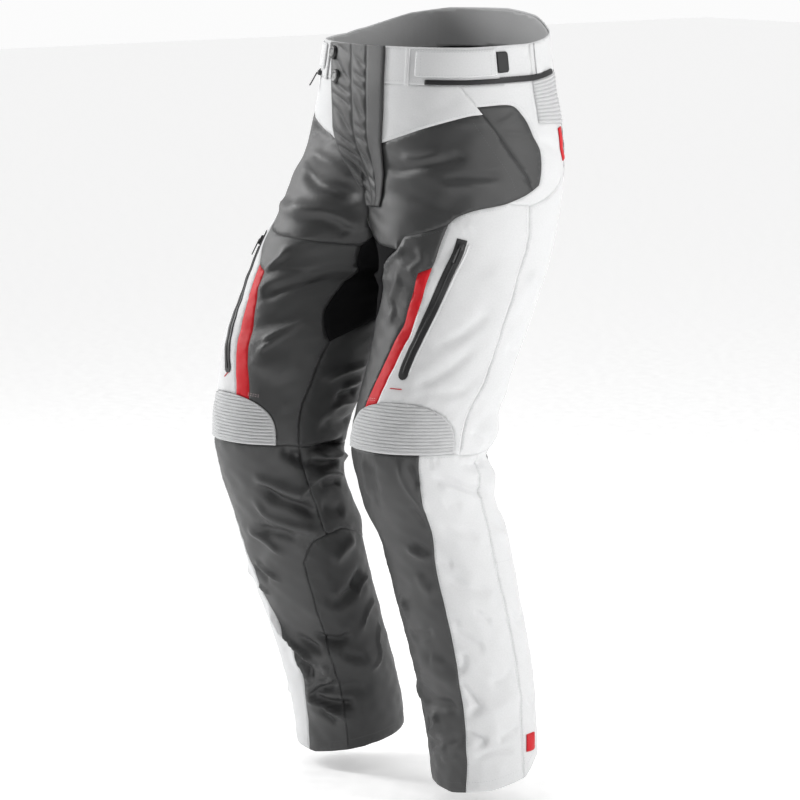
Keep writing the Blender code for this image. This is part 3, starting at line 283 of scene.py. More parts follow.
# Hem: angle, height
HEM = ((-180, -0.967), (-140, -0.977), (-90, -0.991), (-48, -1.002), (0, -1.011), (48, -1.004),
       (90, -0.991), (115, -0.969), (145, -0.962), (180, -0.967), (220, -0.977), (270, -0.991))

# Largest folds, as soft ridges (height over 0) and troughs:
# start angle, start height, end angle, end height, half width, height
FOLDS = {
    "L": (
        (20, -0.150, 75, -0.190, 0.016, 0.0035),
        (5, -0.185, 60, -0.225, 0.014, -0.0040),
        (-10, -0.275, 35, -0.330, 0.014, 0.0040),
        (-20, -0.320, 20, -0.400, 0.015, -0.0040),
        (60, -0.280, 100, -0.360, 0.018, 0.0040),
        (75, -0.440, 135, -0.470, 0.014, 0.0050),
        (90, -0.505, 150, -0.520, 0.014, 0.0060),
        (85, -0.545, 165, -0.552, 0.011, -0.0075),
        (95, -0.585, 160, -0.575, 0.013, 0.0050),
        (120, -0.620, 190, -0.600, 0.013, -0.0050),
        (-60, -0.600, 0, -0.680, 0.018, 0.0040),
        (10, -0.600, 60, -0.720, 0.018, -0.0040),
        (-30, -0.820, 40, -0.860, 0.016, 0.0050),
        (-40, -0.870, 30, -0.900, 0.015, -0.0055),
        (40, -0.900, 100, -0.870, 0.015, 0.0045),
        (-20, -0.935, 50, -0.950, 0.014, 0.0040),
        (150, -0.130, 175, -0.240, 0.018, -0.0045),
        (150, -0.300, 250, -0.330, 0.018, 0.0045),
        (160, -0.420, 260, -0.400, 0.017, -0.0045),
        (150, -0.640, 250, -0.680, 0.018, 0.0045),
        (150, -0.850, 240, -0.820, 0.017, -0.0045),
    ),
    "R": (
        (10, -0.150, 70, -0.200, 0.016, 0.0035),
        (0, -0.195, 60, -0.235, 0.015, -0.0040),
        (-30, -0.300, 20, -0.330, 0.015, 0.0045),
        (-40, -0.345, 15, -0.390, 0.015, -0.0045),
        (-50, -0.430, 0, -0.420, 0.016, 0.0040),
        (85, -0.430, 150, -0.470, 0.016, 0.0050),
        (80, -0.545, 165, -0.552, 0.011, -0.0070),
        (-80, -0.545, -50, -0.552, 0.010, -0.0050),
        (-75, -0.585, -10, -0.640, 0.017, 0.0045),
        (-20, -0.640, 30, -0.760, 0.018, -0.0040),
        (-80, -0.760, -20, -0.800, 0.017, 0.0045),
        (-60, -0.850, 15, -0.875, 0.015, 0.0080),
        (-85, -0.910, 5, -0.912, 0.013, -0.0085),
        (-100, -0.880, -40, -0.860, 0.015, 0.0050),
        (-60, -0.955, 10, -0.945, 0.014, 0.0050),
        (150, -0.130, 175, -0.240, 0.018, -0.0045),
        (150, -0.310, 250, -0.340, 0.018, 0.0045),
        (160, -0.430, 250, -0.400, 0.017, -0.0045),
        (150, -0.640, 250, -0.670, 0.018, 0.0045),
        (150, -0.850, 230, -0.820, 0.017, -0.0045),
    ),
}

# Seams inside a leg's pattern, as places (angle, height) from one junction to the next
SEAMS = {
    "upper_hem": ((9, -0.130), (35, -0.107), (58, -0.092), (68, -0.089)),
    "pocket_top": ((65, -0.079), (68, -0.089)),
    "pocket_mouth": ((68, -0.089), (81, -0.135), (90, -0.166), (95, -0.194)),
    "yoke_outer": ((65, -0.079), (80, -0.077), (87, -0.081), (91, -0.100), (94, -0.120), (99, -0.142),
                   (100.5, -0.170), (99.5, -0.187)),
    "yoke_foot": ((99.5, -0.187), (95, -0.194)),
    "yoke_side": ((95, -0.194), (89, -0.202), (82, -0.2075)),
    "yoke_bottom": ((82, -0.2075), (78, -0.2095), (62, -0.215), (50, -0.223), "white_top"),
    "hip_hem_front": ((82, -0.2075), (94, -0.213)),
    "hip_hem_back": ((94, -0.213), (108, -0.204), (122, -0.187), (134, -0.165)),
    "accordion_bottom": ((98, -0.104), (130, -0.109)),
    "hip_back": ((130, -0.109), (132, -0.140), (134, -0.165)),
    "seat_side": ((134, -0.165), (146, -0.215)),
    "side_edge": ("white_top", (33, -0.262), "stripe_top_outer"),
    "stripe_top": ("stripe_top_outer", "stripe_top_inner"),
    "side_seam": ((94, -0.213), (91, -0.257), (86, -0.310), (84, -0.350), (85, -0.400), (83, -0.450),
                  (78, -0.490), (77, -0.537)),
    "rear_edge": ((146, -0.215), (146, -0.380), (146, -0.540)),
    "inseam": ((-62, -0.392), (-58, -0.448), (-56, -0.480), (-61, -0.538)),
    "knee_inner": ((-40, -0.534), (-61, -0.538)),
    "knee_outer": ((72, -0.534), (77, -0.537)),
    "knee_gap": ((77, -0.537), (98, -0.540)),
    "knee_rear": ((98, -0.540), (146, -0.540)),
    "knee_back": ((146, -0.540), (220, -0.542), (299, -0.538)),
    "shin_side_seam": ((98, -0.540), (95, -0.600), (90, -0.680), (92, -0.760), (91, -0.870), (88, None)),
    "shin_rear_edge": ((146, -0.540), (148, -0.760), (148, None)),
    "shin_inseam": ((-61, -0.538), (-66, -0.590), (-71, -0.671)),
    "calf_top_front": ((-71, -0.671), (-55, -0.683), (-42, -0.712)),
    "calf_top_back": ((-71, -0.671), (-90, -0.666), (-115, -0.677), (-150, -0.700)),
    "calf_front": ((-42, -0.712), (-42, -0.860), (-42, None)),
    "calf_back": ((-150, -0.700), (-150, -0.850), (-150, None)),
}

# Junctions and seams that lie differently on the two legs
PLACES = {
    "L": {
        "white_top": (43, -0.233),
        "crotch_top": -0.262,
        "crotch_front": ((31, -0.241), (20, -0.247), (10, -0.252)),
        "gusset_front": (1, -0.269),
        "stripe_top_outer": (26, -0.290),
        "stripe_top_inner": (16, -0.298),
        "stripe_foot_outer": -6.0,
        "stripe_foot_inner": -20.0,
        "stripe_sag": 0.0,
        "gusset_edge": ((-12, -0.284), (-21, -0.302), (-27, -0.337), (-45, -0.371)),
        "shin_front_seam": ((36, -0.633), (30, -0.690), (30, -0.765), (28, -0.850), (24, -0.950),
                            (18, None)),
        "zip": ((48.5, -0.253), (35, -0.309), (22, -0.371), (15, -0.415), (13.5, -0.437)),
    },
    "R": {
        "white_top": (35, -0.233),
        "crotch_top": -0.246,
        "crotch_front": ((22, -0.244), (-5, -0.251)),
        "gusset_front": (-34, -0.260),
        "stripe_top_outer": (20, -0.290),
        "stripe_top_inner": (10, -0.298),
        "stripe_foot_outer": 4.0,
        "stripe_foot_inner": -10.0,
        "stripe_sag": 2.0,
        "gusset_edge": ((-36, -0.270), (-42, -0.300), (-46, -0.345), (-54, -0.371)),
        "shin_front_seam": ((38, -0.620), (30, -0.720), (10, -0.812), (-2, -0.870), (4, -0.940), (8, None)),
        "zip": ((44, -0.251), (33, -0.318), (22, -0.385), (15, -0.441)),
    },
}

# Fly flap: sewn edge and free edge, as (x, height), top to bottom
FLAP_SEWN = ((0.045, 0.000), (0.051, -0.071), (0.051, -0.129), (0.058, -0.171), (0.056, -0.203),
             (0.052, -0.216))
FLAP_FREE = ((-0.078, 0.000), (-0.069, -0.038), (-0.061, -0.073), (-0.053, -0.114), (-0.041, -0.140),
             (-0.026, -0.161), (-0.008, -0.182), (0.006, -0.198), (0.012, -0.218))
FLAP_LIFT = 0.0036
FLAP_BRIDGE = 0.010

# Snaps on the flap: x, height, radius
SNAPS = {"snap_upper": (-0.0635, -0.014, 0.0085), "snap_lower": (-0.0505, -0.046, 0.0090)}
SNAP_LIFT = 0.0004
SNAP_THICK = 0.0035


# Fine creases, as soft ridges (height over 0) and troughs: half width, height, places from end to end
CREASES = {
    "L": (
        # Yoke and hip
        (0.0060, -0.0030, ((7, -0.150), (16, -0.165), (27, -0.160), (42, -0.152), (58, -0.144))),
        (0.0070, 0.0022, ((18, -0.149), (32, -0.147), (46, -0.140))),
        (0.0030, -0.0016, ((50, -0.137), (56, -0.150))),
        (0.0055, -0.0026, ((42, -0.174), (64, -0.171), (80, -0.171))),
        (0.0065, 0.0020, ((40, -0.184), (62, -0.182), (78, -0.182))),
        (0.0040, 0.0014, ((52, -0.101), (70, -0.101))),
        (0.0032, 0.0014, ((74, -0.102), (81, -0.099), (89, -0.088))),
        (0.0032, 0.0014, ((78, -0.115), (93, -0.119))),
        (0.0060, -0.0016, ((96, -0.125), (108, -0.135), (120, -0.150))),
        (0.0025, 0.0018, ((-22, -0.218), (-29, -0.246))),
        # Thigh
        (0.0035, 0.0022, ((6, -0.258), (2, -0.271), (-6, -0.280), (-15, -0.293), (-16, -0.311))),
        (0.0050, 0.0022, ((17, -0.260), (20, -0.281), (12, -0.293), (9, -0.305))),
        (0.0045, 0.0024, ((-8, -0.294), (-3, -0.307), (-6, -0.320), (-12, -0.336), (-10, -0.350),
                          (-13, -0.373))),
        (0.0022, 0.0013, ((50, -0.227), (49, -0.250))),
        (0.0022, 0.0012, ((54, -0.232), (55, -0.249))),
        (0.0022, 0.0012, ((45, -0.232), (45, -0.246))),
        (0.0090, -0.0024, ((30, -0.396), (51, -0.380), (66, -0.358), (76, -0.346))),
        (0.0090, -0.0024, ((22, -0.448), (43, -0.432), (58, -0.412), (69, -0.392))),
        (0.0070, -0.0018, ((26, -0.455), (52, -0.454), (78, -0.450))),
        (0.0045, -0.0022, ((83, -0.506), (99, -0.516), (116, -0.525))),
        (0.0080, 0.0022, ((95, -0.300), (110, -0.320), (128, -0.318))),
        (0.0070, -0.0020, ((92, -0.395), (112, -0.408), (132, -0.396))),
        # Front of the shin
        (0.0060, 0.0032, ((24, -0.537), (25, -0.563), (29, -0.581), (34, -0.598), (39, -0.617))),
        (0.0060, -0.0034, ((31, -0.540), (35, -0.560), (38, -0.580))),
        (0.0050, 0.0026, ((-14, -0.538), (-14, -0.565), (-19, -0.602))),
        (0.0055, -0.0020, ((-4, -0.540), (-6, -0.580), (-10, -0.620))),
        (0.0060, -0.0024, ((24, -0.603), (29, -0.619), (32, -0.639))),
        (0.0050, 0.0024, ((3, -0.666), (16, -0.675), (28, -0.680))),
        (0.0050, -0.0024, ((12, -0.654), (28, -0.673))),
        (0.0100, 0.0020, ((11, -0.697), (13, -0.719), (24, -0.730))),
        (0.0050, 0.0040, ((-26, -0.744), (-16, -0.753), (-23, -0.770))),
        (0.0065, -0.0030, ((-28, -0.790), (-10, -0.793), (14, -0.779))),
        (0.0080, 0.0018, ((0, -0.820), (19, -0.828))),
        (0.0040, 0.0030, ((-21, -0.846), (-37, -0.875), (-28, -0.892))),
        (0.0080, -0.0034, ((-34, -0.892), (-1, -0.889), (22, -0.885))),
        (0.0050, 0.0040, ((-19, -0.901), (-9, -0.915), (-28, -0.940))),
        (0.0030, -0.0026, ((-22, -0.906), (-27, -0.920), (-36, -0.938))),
        (0.0070, -0.0034, ((-38, -0.954), (-3, -0.942), (24, -0.929))),
        (0.0060, 0.0028, ((-28, -0.958), (0, -0.947))),
        (0.0040, 0.0018, ((-12, -0.967), (17, -0.957))),
        # Outer side of the shin
        (0.0060, -0.0034, ((50, -0.560), (64, -0.569), (79, -0.579), (92, -0.589), (108, -0.595))),
        (0.0080, 0.0022, ((54, -0.575), (70, -0.583), (88, -0.598))),
        (0.0022, -0.0016, ((50, -0.536), (51, -0.552))),
        (0.0022, -0.0014, ((56, -0.536), (56, -0.548))),
        (0.0022, -0.0014, ((45, -0.536), (46, -0.546))),
        (0.0045, -0.0028, ((75, -0.547), (87, -0.553), (113, -0.552))),
        (0.0030, 0.0016, ((90, -0.562), (101, -0.570))),
        (0.0070, -0.0014, ((56, -0.601), (73, -0.605))),
        (0.0080, -0.0022, ((42, -0.633), (55, -0.639), (82, -0.652))),
        (0.0070, -0.0016, ((31, -0.682), (48, -0.688))),
        (0.0080, -0.0024, ((31, -0.702), (43, -0.709), (63, -0.723), (83, -0.723))),
        (0.0060, -0.0018, ((57, -0.752), (74, -0.769))),
        (0.0060, -0.0016, ((29, -0.758), (42, -0.768))),
        (0.0090, -0.0030, ((31, -0.774), (46, -0.789), (62, -0.804))),
        (0.0050, -0.0022, ((38, -0.806), (37, -0.823), (28, -0.840))),
        (0.0060, -0.0032, ((27, -0.842), (35, -0.865), (45, -0.883), (36, -0.893), (28, -0.900))),
        (0.0060, 0.0022, ((30, -0.853), (34, -0.880), (27, -0.888))),
        (0.0060, -0.0036, ((23, -0.920), (38, -0.927), (45, -0.934), (31, -0.944))),
        (0.0040, -0.0018, ((29, -0.958), (55, -0.949), (82, -0.949))),
        (0.0060, -0.0018, ((58, -0.936), (71, -0.927), (87, -0.918))),
        (0.0060, -0.0016, ((58, -0.856), (74, -0.849), (87, -0.834))),
        (0.0070, 0.0020, ((95, -0.640), (112, -0.655), (128, -0.640))),
        (0.0070, -0.0022, ((96, -0.760), (114, -0.775), (130, -0.765))),
        (0.0060, -0.0020, ((98, -0.880), (115, -0.892), (132, -0.884))),
    ),
    "R": (
        # Hip
        (0.0065, -0.0050, ((30, -0.166), (13, -0.181), (-1, -0.191), (-17, -0.207))),
        (0.0065, 0.0032, ((25, -0.150), (5, -0.163), (-10, -0.190))),
        (0.0060, 0.0034, ((20, -0.206), (-13, -0.225), (-28, -0.243))),
        (0.0050, -0.0034, ((0, -0.219), (-12, -0.230), (-25, -0.246))),
        (0.0070, 0.0030, ((42, -0.213), (7, -0.221), (0, -0.228))),
        (0.0100, -0.0028, ((40, -0.122), (21, -0.126), (8, -0.136))),
        (0.0025, 0.0018, ((-24, -0.220), (-31, -0.243))),
        # Thigh
        (0.0040, 0.0024, ((5, -0.259), (2, -0.272), (5, -0.284), (10, -0.302))),
        (0.0100, -0.0042, ((-26, -0.292), (-22, -0.306), (-12, -0.315), (3, -0.329))),
        (0.0040, 0.0022, ((-12, -0.393), (-27, -0.373), (-42, -0.362))),
        (0.0040, 0.0018, ((-12, -0.408), (-26, -0.386), (-38, -0.369))),
        (0.0050, 0.0028, ((-64, -0.449), (-82, -0.436), (-106, -0.429))),
        (0.0050, 0.0022, ((-84, -0.460), (-106, -0.451))),
        (0.0060, -0.0034, ((-80, -0.472), (-108, -0.468))),
        (0.0040, 0.0020, ((-80, -0.491), (-92, -0.482), (-122, -0.483))),
        (0.0070, -0.0030, ((-74, -0.506), (-100, -0.512), (-124, -0.508))),
        # Behind and below the knee
        (0.0045, -0.0060, ((-70, -0.541), (-88, -0.541), (-114, -0.537))),
        (0.0055, 0.0048, ((-74, -0.551), (-95, -0.555), (-114, -0.552))),
        (0.0080, -0.0032, ((-42, -0.539), (-58, -0.553), (-70, -0.568))),
        (0.0060, -0.0040, ((-65, -0.560), (-84, -0.566), (-108, -0.567))),
        (0.0040, 0.0032, ((-65, -0.596), (-79, -0.581), (-97, -0.580), (-118, -0.592))),
        (0.0060, -0.0030, ((-76, -0.594), (-108, -0.597))),
        (0.0030, 0.0016, ((-52, -0.604), (-70, -0.594))),
        (0.0100, -0.0052, ((-14, -0.592), (-32, -0.611), (-50, -0.625), (-74, -0.641))),
        (0.0090, 0.0032, ((-12, -0.583), (-41, -0.597), (-65, -0.618))),
        (0.0080, 0.0032, ((-4, -0.612), (-20, -0.641), (-44, -0.657), (-69, -0.667))),
        (0.0100, -0.0026, ((-72, -0.628), (-100, -0.640))),
        (0.0070, -0.0026, ((3, -0.666), (-22, -0.667), (-44, -0.674))),
        (0.0060, 0.0026, ((14, -0.664), (5, -0.675), (-13, -0.690), (-27, -0.704))),
        (0.0035, 0.0026, ((21, -0.722), (2, -0.732), (-9, -0.741), (-12, -0.749))),
        (0.0050, -0.0024, ((26, -0.730), (12, -0.741), (2, -0.748))),
        (0.0030, 0.0016, ((24, -0.758), (8, -0.769))),
        (0.0080, 0.0024, ((-107, -0.681), (-84, -0.699), (-68, -0.717))),
        # Lower shin
        (0.0030, 0.0022, ((-116, -0.741), (-101, -0.753), (-86, -0.773))),
        (0.0060, -0.0028, ((-104, -0.731), (-84, -0.758))),
        (0.0030, 0.0020, ((-118, -0.778), (-98, -0.795), (-88, -0.811), (-81, -0.829))),
        (0.0030, 0.0022, ((-114, -0.814), (-101, -0.845), (-99, -0.869), (-86, -0.882), (-79, -0.890))),
        (0.0090, -0.0034, ((-50, -0.772), (-69, -0.773), (-92, -0.755), (-108, -0.744))),
        (0.0060, -0.0034, ((-28, -0.825), (-42, -0.833), (-58, -0.836), (-74, -0.824))),
        (0.0080, -0.0020, ((-52, -0.858), (-82, -0.869))),
        (0.0060, -0.0026, ((-8, -0.832), (-23, -0.841), (-37, -0.854))),
        (0.0038, 0.0040, ((22, -0.788), (11, -0.822), (-2, -0.845), (-20, -0.862), (-26, -0.882))),
        (0.0032, 0.0030, ((-3, -0.848), (-8, -0.875), (-4, -0.910))),
        (0.0050, -0.0042, ((-10, -0.862), (-15, -0.880), (-9, -0.900))),
        (0.0042, 0.0038, ((-42, -0.880), (-33, -0.899), (-19, -0.905), (-8, -0.915), (4, -0.924))),
        (0.0070, 0.0030, ((-34, -0.872), (-30, -0.892))),
        (0.0032, -0.0022, ((-2, -0.926), (-17, -0.917), (-38, -0.909))),
        (0.0060, -0.0048, ((-3, -0.928), (-23, -0.934), (-40, -0.936), (-58, -0.933))),
        (0.0042, 0.0032, ((5, -0.929), (-10, -0.934), (-25, -0.942), (-38, -0.950), (-44, -0.966))),
        (0.0050, -0.0030, ((-14, -0.941), (-24, -0.953), (-33, -0.964))),
        # Outer side, not in view
        (0.0090, -0.0024, ((40, -0.380), (60, -0.366), (80, -0.350))),
        (0.0080, -0.0026, ((50, -0.562), (75, -0.578), (100, -0.590))),
        (0.0080, -0.0022, ((45, -0.655), (65, -0.668), (85, -0.664))),
        (0.0080, 0.0024, ((40, -0.735), (60, -0.752), (84, -0.745))),
        (0.0070, -0.0028, ((50, -0.845), (68, -0.862), (90, -0.850))),
        (0.0060, 0.0024, ((48, -0.925), (70, -0.940), (95, -0.930))),
        (0.0070, 0.0022, ((96, -0.310), (112, -0.330), (130, -0.320))),
        (0.0070, -0.0024, ((98, -0.700), (116, -0.715), (132, -0.705))),
    ),
}
# Creases at the back, alike on both legs but not the same: height, and how far the right leg's lie lower
BACK_CREASES = (
    (0.0100, -0.0034, ((143, -0.118), (152, -0.160), (160, -0.212))),
    (0.0080, 0.0030, ((168, -0.140), (158, -0.190), (151, -0.234))),
    (0.0070, -0.0040, ((152, -0.262), (180, -0.286), (204, -0.292))),
    (0.0060, 0.0032, ((150, -0.286), (178, -0.306), (212, -0.318))),
    (0.0080, -0.0034, ((150, -0.360), (185, -0.384), (225, -0.374))),
    (0.0060, 0.0028, ((155, -0.430), (190, -0.450), (235, -0.440))),
    (0.0050, -0.0050, ((140, -0.519), (185, -0.527), (233, -0.522))),
    (0.0060, 0.0042, ((138, -0.553), (180, -0.560), (236, -0.556))),
    (0.0050, -0.0042, ((135, -0.575), (185, -0.585), (233, -0.580))),
    (0.0080, -0.0032, ((150, -0.640), (185, -0.668), (213, -0.660))),
    (0.0080, 0.0028, ((155, -0.722), (188, -0.750), (216, -0.740))),
    (0.0080, -0.0034, ((150, -0.820), (180, -0.850), (213, -0.858))),
    (0.0060, -0.0034, ((152, -0.905), (185, -0.925), (213, -0.915))),
    (0.0050, 0.0028, ((156, -0.940), (188, -0.950), (212, -0.945))),
)
BACK_DROP = {"L": 0.0, "R": 0.009}


# Topstitching beside seams: seam, distance to its outer or upper side, thread
TOPSTITCH = (
    ("upper_hem", 0.0040, "white"), ("pocket_mouth", -0.0035, "grey"), ("pocket_mouth", -0.0150, "grey"),
    ("yoke_outer", 0.0040, "white"), ("yoke_bottom", 0.0040, "white"), ("hip_hem_back", -0.0040, "white"),
    ("side_edge", 0.0035, "white"), ("stripe_outer", 0.0035, "white"), ("stripe_inner", -0.0030, "grey"),
    ("side_seam", 0.0035, "white"), ("side_seam", -0.0035, "white"), ("hip_back", 0.0040, "grey"),
    ("seat_side", 0.0040, "grey"), ("rear_edge", -0.0035, "white"), ("rear_edge", 0.0035, "grey"),
    ("shin_side_seam", 0.0035, "white"), ("shin_side_seam", -0.0035, "white"),
    ("shin_front_seam", 0.0035, "white"), ("shin_front_seam", -0.0035, "grey"),
    ("shin_rear_edge", -0.0035, "white"), ("inseam", 0.0040, "grey"), ("calf_front", 0.0040, "grey"),
    ("calf_top_front", 0.0040, "grey"), ("calf_top_back", -0.0040, "grey"),
    ("crotch_front", 0.0040, "grey"), ("gusset_edge", 0.0040, "grey"),
    ("middle_seat", 0.0040, "grey"), ("seat_foot", 0.0040, "grey"),
    ("hem_front", 0.0140, "grey"), ("hem_side", 0.0140, "white"), ("hem_rear", 0.0140, "white"),
    ("hem_back", 0.0140, "grey"), ("hem_calf", 0.0140, "grey"), ("base_side", -0.0040, "white"),
    ("base_front", -0.0040, "grey"), ("accordion_front", -0.0040, "white"),
)
# Other sewing lines, as places from end to end
SEWING = {
    "pale": (((-19, -0.466), (-7, -0.464)), ((-19, -0.4685), (-7, -0.4665))),
    "red": (((96.5, -0.9345), (108.5, -0.9345), (108.5, -0.9535), (96.5, -0.9535), (96.5, -0.9345)),),
}
SHIN_SEWING = {"L": ((89, -0.689), (118, -0.691)), "R": ((89, -0.700), (118, -0.703))}
# Bar stitches, as places from end to end
BARTACKS = {"L": (((5, -0.449), (16, -0.449)),), "R": (((21, -0.447), (13, -0.437)),)}
PULL_BODIES = {"L": "left_pull", "R": "right_pull"}


# Tables read as smooth curves

def blend_rows(rows, height):
    """Smooth reading of a table whose first column falls."""
    rows = np.asarray(rows, float)
    depth = -rows[:, 0]
    wanted = -np.asarray(height, float)
    index = np.clip(np.searchsorted(depth, wanted) - 1, 0, len(depth) - 2)
    slope = np.gradient(rows[:, 1:], depth, axis=0)
    span = depth[index + 1] - depth[index]
    part = np.clip((wanted - depth[index]) / span, 0.0, 1.0)[..., None]
    span = span[..., None]
    square, cube = part ** 2, part ** 3
    start = (2 * cube - 3 * square + 1) * rows[index, 1:] + (cube - 2 * square + part) * slope[index] * span
    end = (3 * square - 2 * cube) * rows[index + 1, 1:] + (cube - square) * slope[index + 1] * span
    return start + end


def section(side, height):
    """Centre out, centre y, half width, front depth, back depth and squareness of a section."""
    out, *others = np.moveaxis(blend_rows(SECTIONS[side], height), -1, 0)
    return np.maximum(out, 0.0) - SIDES[side] * swell(LEAN, height), *others


def ease(value):
    value = np.clip(value, 0.0, 1.0)
    return value * value * (3.0 - 2.0 * value)


def swell(row, height):
    """An amount that comes and goes between two heights."""
    amount, top, foot, run = row
    return amount * ease((top - np.asarray(height)) / run) * ease((np.asarray(height) - foot) / run)


def read_line(rows, value):
    """Straight-line reading of a table of two columns."""
    table = sorted(rows)
    return np.interp(value, [row[0] for row in table], [row[1] for row in table])


def turn(height):
    top, bottom = TURN
    return bottom[1] * ease((top[0] - np.asarray(height)) / (top[0] - bottom[0]))


def rim(side, angle):
    return read_line(RIM[side], np.abs(angle))


# The surface of one leg and its half of the seat

def centre_line(side, height, front):
    """y of a section where it meets the middle plane."""
    out, y, half, to_front, to_back, power = section(side, height)
    reach = (1.0 - np.clip(out / half, 0.0, 1.0) ** power) ** (1.0 / power)
    return np.where(front, y - to_front * reach, y + to_back * reach)


def plain_point(side, angle, height):
    """Point on the leg's section, before any fold; x counts outwards from the middle."""
    angle, height = np.broadcast_arrays(np.asarray(angle, float), np.asarray(height, float))
    own = SIDES[side]
    real = np.radians(angle + own * turn(height))
    level = height - (read_line(SLUMP, height) if side == "R" else 0.0)
    out, y, half, to_front, to_back, power = section(side, level)
    sine, cosine = np.sin(real), np.cos(real)
    x = out + half * np.sign(sine) * np.abs(sine) ** (2.0 / power)
    front = cosine > 0.0
    depth = np.where(front, to_front, to_back)
    y = y - depth * np.sign(cosine) * np.abs(cosine) ** (2.0 / power)
    # The two halves meet in one line down the middle
    other = "R" if side == "L" else "L"
    mean = 0.5 * (centre_line(side, level, front) + centre_line(other, level, front))
    mean = mean + swell(RECESS, level) * ease(cosine / RECESS_SIDE)
    near = np.exp(-(np.maximum(x, 0.0) / 0.055) ** 2) * ease((level + 0.40) / 0.10)
    y = y + near * (mean - centre_line(side, level, front))
    return np.stack([x, y, level], axis=-1)


def fold_height(side, angle, height):
    total = np.zeros(np.broadcast(angle, height).shape)
    for start, top, end, bottom, half, rise in FOLDS[side]:
        for shift in (-360.0, 0.0, 360.0):
            along = np.array([(end - start) * ARC, bottom - top])
            length = math.hypot(*along)
            across = (angle - start - shift) * ARC
            down = height - top
            run = (across * along[0] + down * along[1]) / length ** 2
            off = (across * along[1] - down * along[0]) / length
            ends = ease(run / 0.30) * ease((1.0 - run) / 0.30)
            total = total + rise * ends * np.exp(-(off / half) ** 2)
    return total


def frame_at(point_at, angle, height, small=(0.4, 0.0010)):
    """Point and unit normal of a surface given as a function of two values."""
    d_first = point_at(angle + small[0], height) - point_at(angle - small[0], height)
    d_second = point_at(angle, height + small[1]) - point_at(angle, height - small[1])
    normal = np.cross(d_first, d_second)
    normal /= np.linalg.norm(normal, axis=-1, keepdims=True)
    return point_at(angle, height), normal


def leg_point(side, angle, height):
    point, normal = frame_at(lambda a, h: plain_point(side, a, h), angle, height)
    return point + fold_height(side, angle, height)[..., None] * normal


def leg_frame(side, angle, height, lift=0.0):
    """Point and outward normal on a leg; lift moves the point out from the cloth's outer face."""
    angle, height = np.asarray(angle, float), np.asarray(height, float)
    point, normal = frame_at(lambda a, h: leg_point(side, a, h), angle, height)
    point = point + lift * normal
    point[..., 0] = np.maximum(point[..., 0], SEAM_GAP / 2)
    mirror = np.array([SIDES[side], 1.0, 1.0])
    point, normal = point * mirror, normal * mirror
    point[..., 0] += swell(LEAN, point[..., 2])
    return point, normal


def middle_angle(side, height, front=True):
    """Angle at which the section at this height meets the middle plane."""
    level = height - (read_line(SLUMP, height) if side == "R" else 0.0)
    out, _, half, _, _, power = section(side, level)
    real = math.degrees(math.asin(min(max(out / half, 0.0), 1.0) ** (power / 2.0)))
    real = -real if front else 180.0 + real
    return real - SIDES[side] * float(turn(height))


def middle_height(side, angle):
    """Height at which the crotch curve passes a given inner angle."""
    high, low = -0.10, -0.36
    for _ in range(40):
        mid = 0.5 * (high + low)
        if plain_point(side, angle, mid)[0] < 0.0:
            high = mid
        else:
            low = mid
    return 0.5 * (high + low)


# Seams as evenly sampled lines of places

def smooth_line(points, step=STEP):
    """Evenly spaced samples of a smooth curve through places (angle, height)."""
    flat = np.array([(a * ARC, h) for a, h in points])
    if len(flat) == 2:
        fine = np.linspace(flat[0], flat[1], 60)
    else:
        padded = np.vstack([2 * flat[0] - flat[1], flat, 2 * flat[-1] - flat[-2]])
        pieces = []
        for k in range(1, len(padded) - 2):
            t = np.linspace(0.0, 1.0, 30, endpoint=False)[:, None]
            before, start, end, after = padded[k - 1:k + 3]
            pieces.append(0.5 * (2 * start + (end - before) * t
                                 + (2 * before - 5 * start + 4 * end - after) * t ** 2
                                 + (3 * start - before - 3 * end + after) * t ** 3))
        fine = np.vstack(pieces + [flat[-1:]])
    along = np.concatenate([[0.0], np.cumsum(np.linalg.norm(np.diff(fine, axis=0), axis=1))])
    count = max(1, round(along[-1] / step))
    want = np.linspace(0.0, along[-1], count + 1)
    samples = np.stack([np.interp(want, along, fine[:, k]) for k in (0, 1)], axis=1)
    return [(a / ARC, h) for a, h in samples]


def knee_arch(angle_from, angle_to, step=ARCH_STEP):
    """The arched top edge of the knee accordion between two of its angles."""
    def turn_of(angle):
        return math.acos(max(-1.0, min(1.0, (angle - KNEE_CENTRE) / KNEE_HALF)))

    fine = []
    for t in np.linspace(turn_of(angle_from), turn_of(angle_to), 80):
        angle = KNEE_CENTRE + KNEE_HALF * math.cos(t)
        fine.append((angle, KNEE_BASE + KNEE_HEIGHT * math.sin(t) ** (2.0 / KNEE_POWER)))
    flat = np.array([(a * ARC, h) for a, h in fine])
    along = np.concatenate([[0.0], np.cumsum(np.linalg.norm(np.diff(flat, axis=0), axis=1))])
    want = np.linspace(0.0, along[-1], max(1, round(along[-1] / step)) + 1)
    return [(np.interp(w, along, flat[:, 0]) / ARC, float(np.interp(w, along, flat[:, 1]))) for w in want]


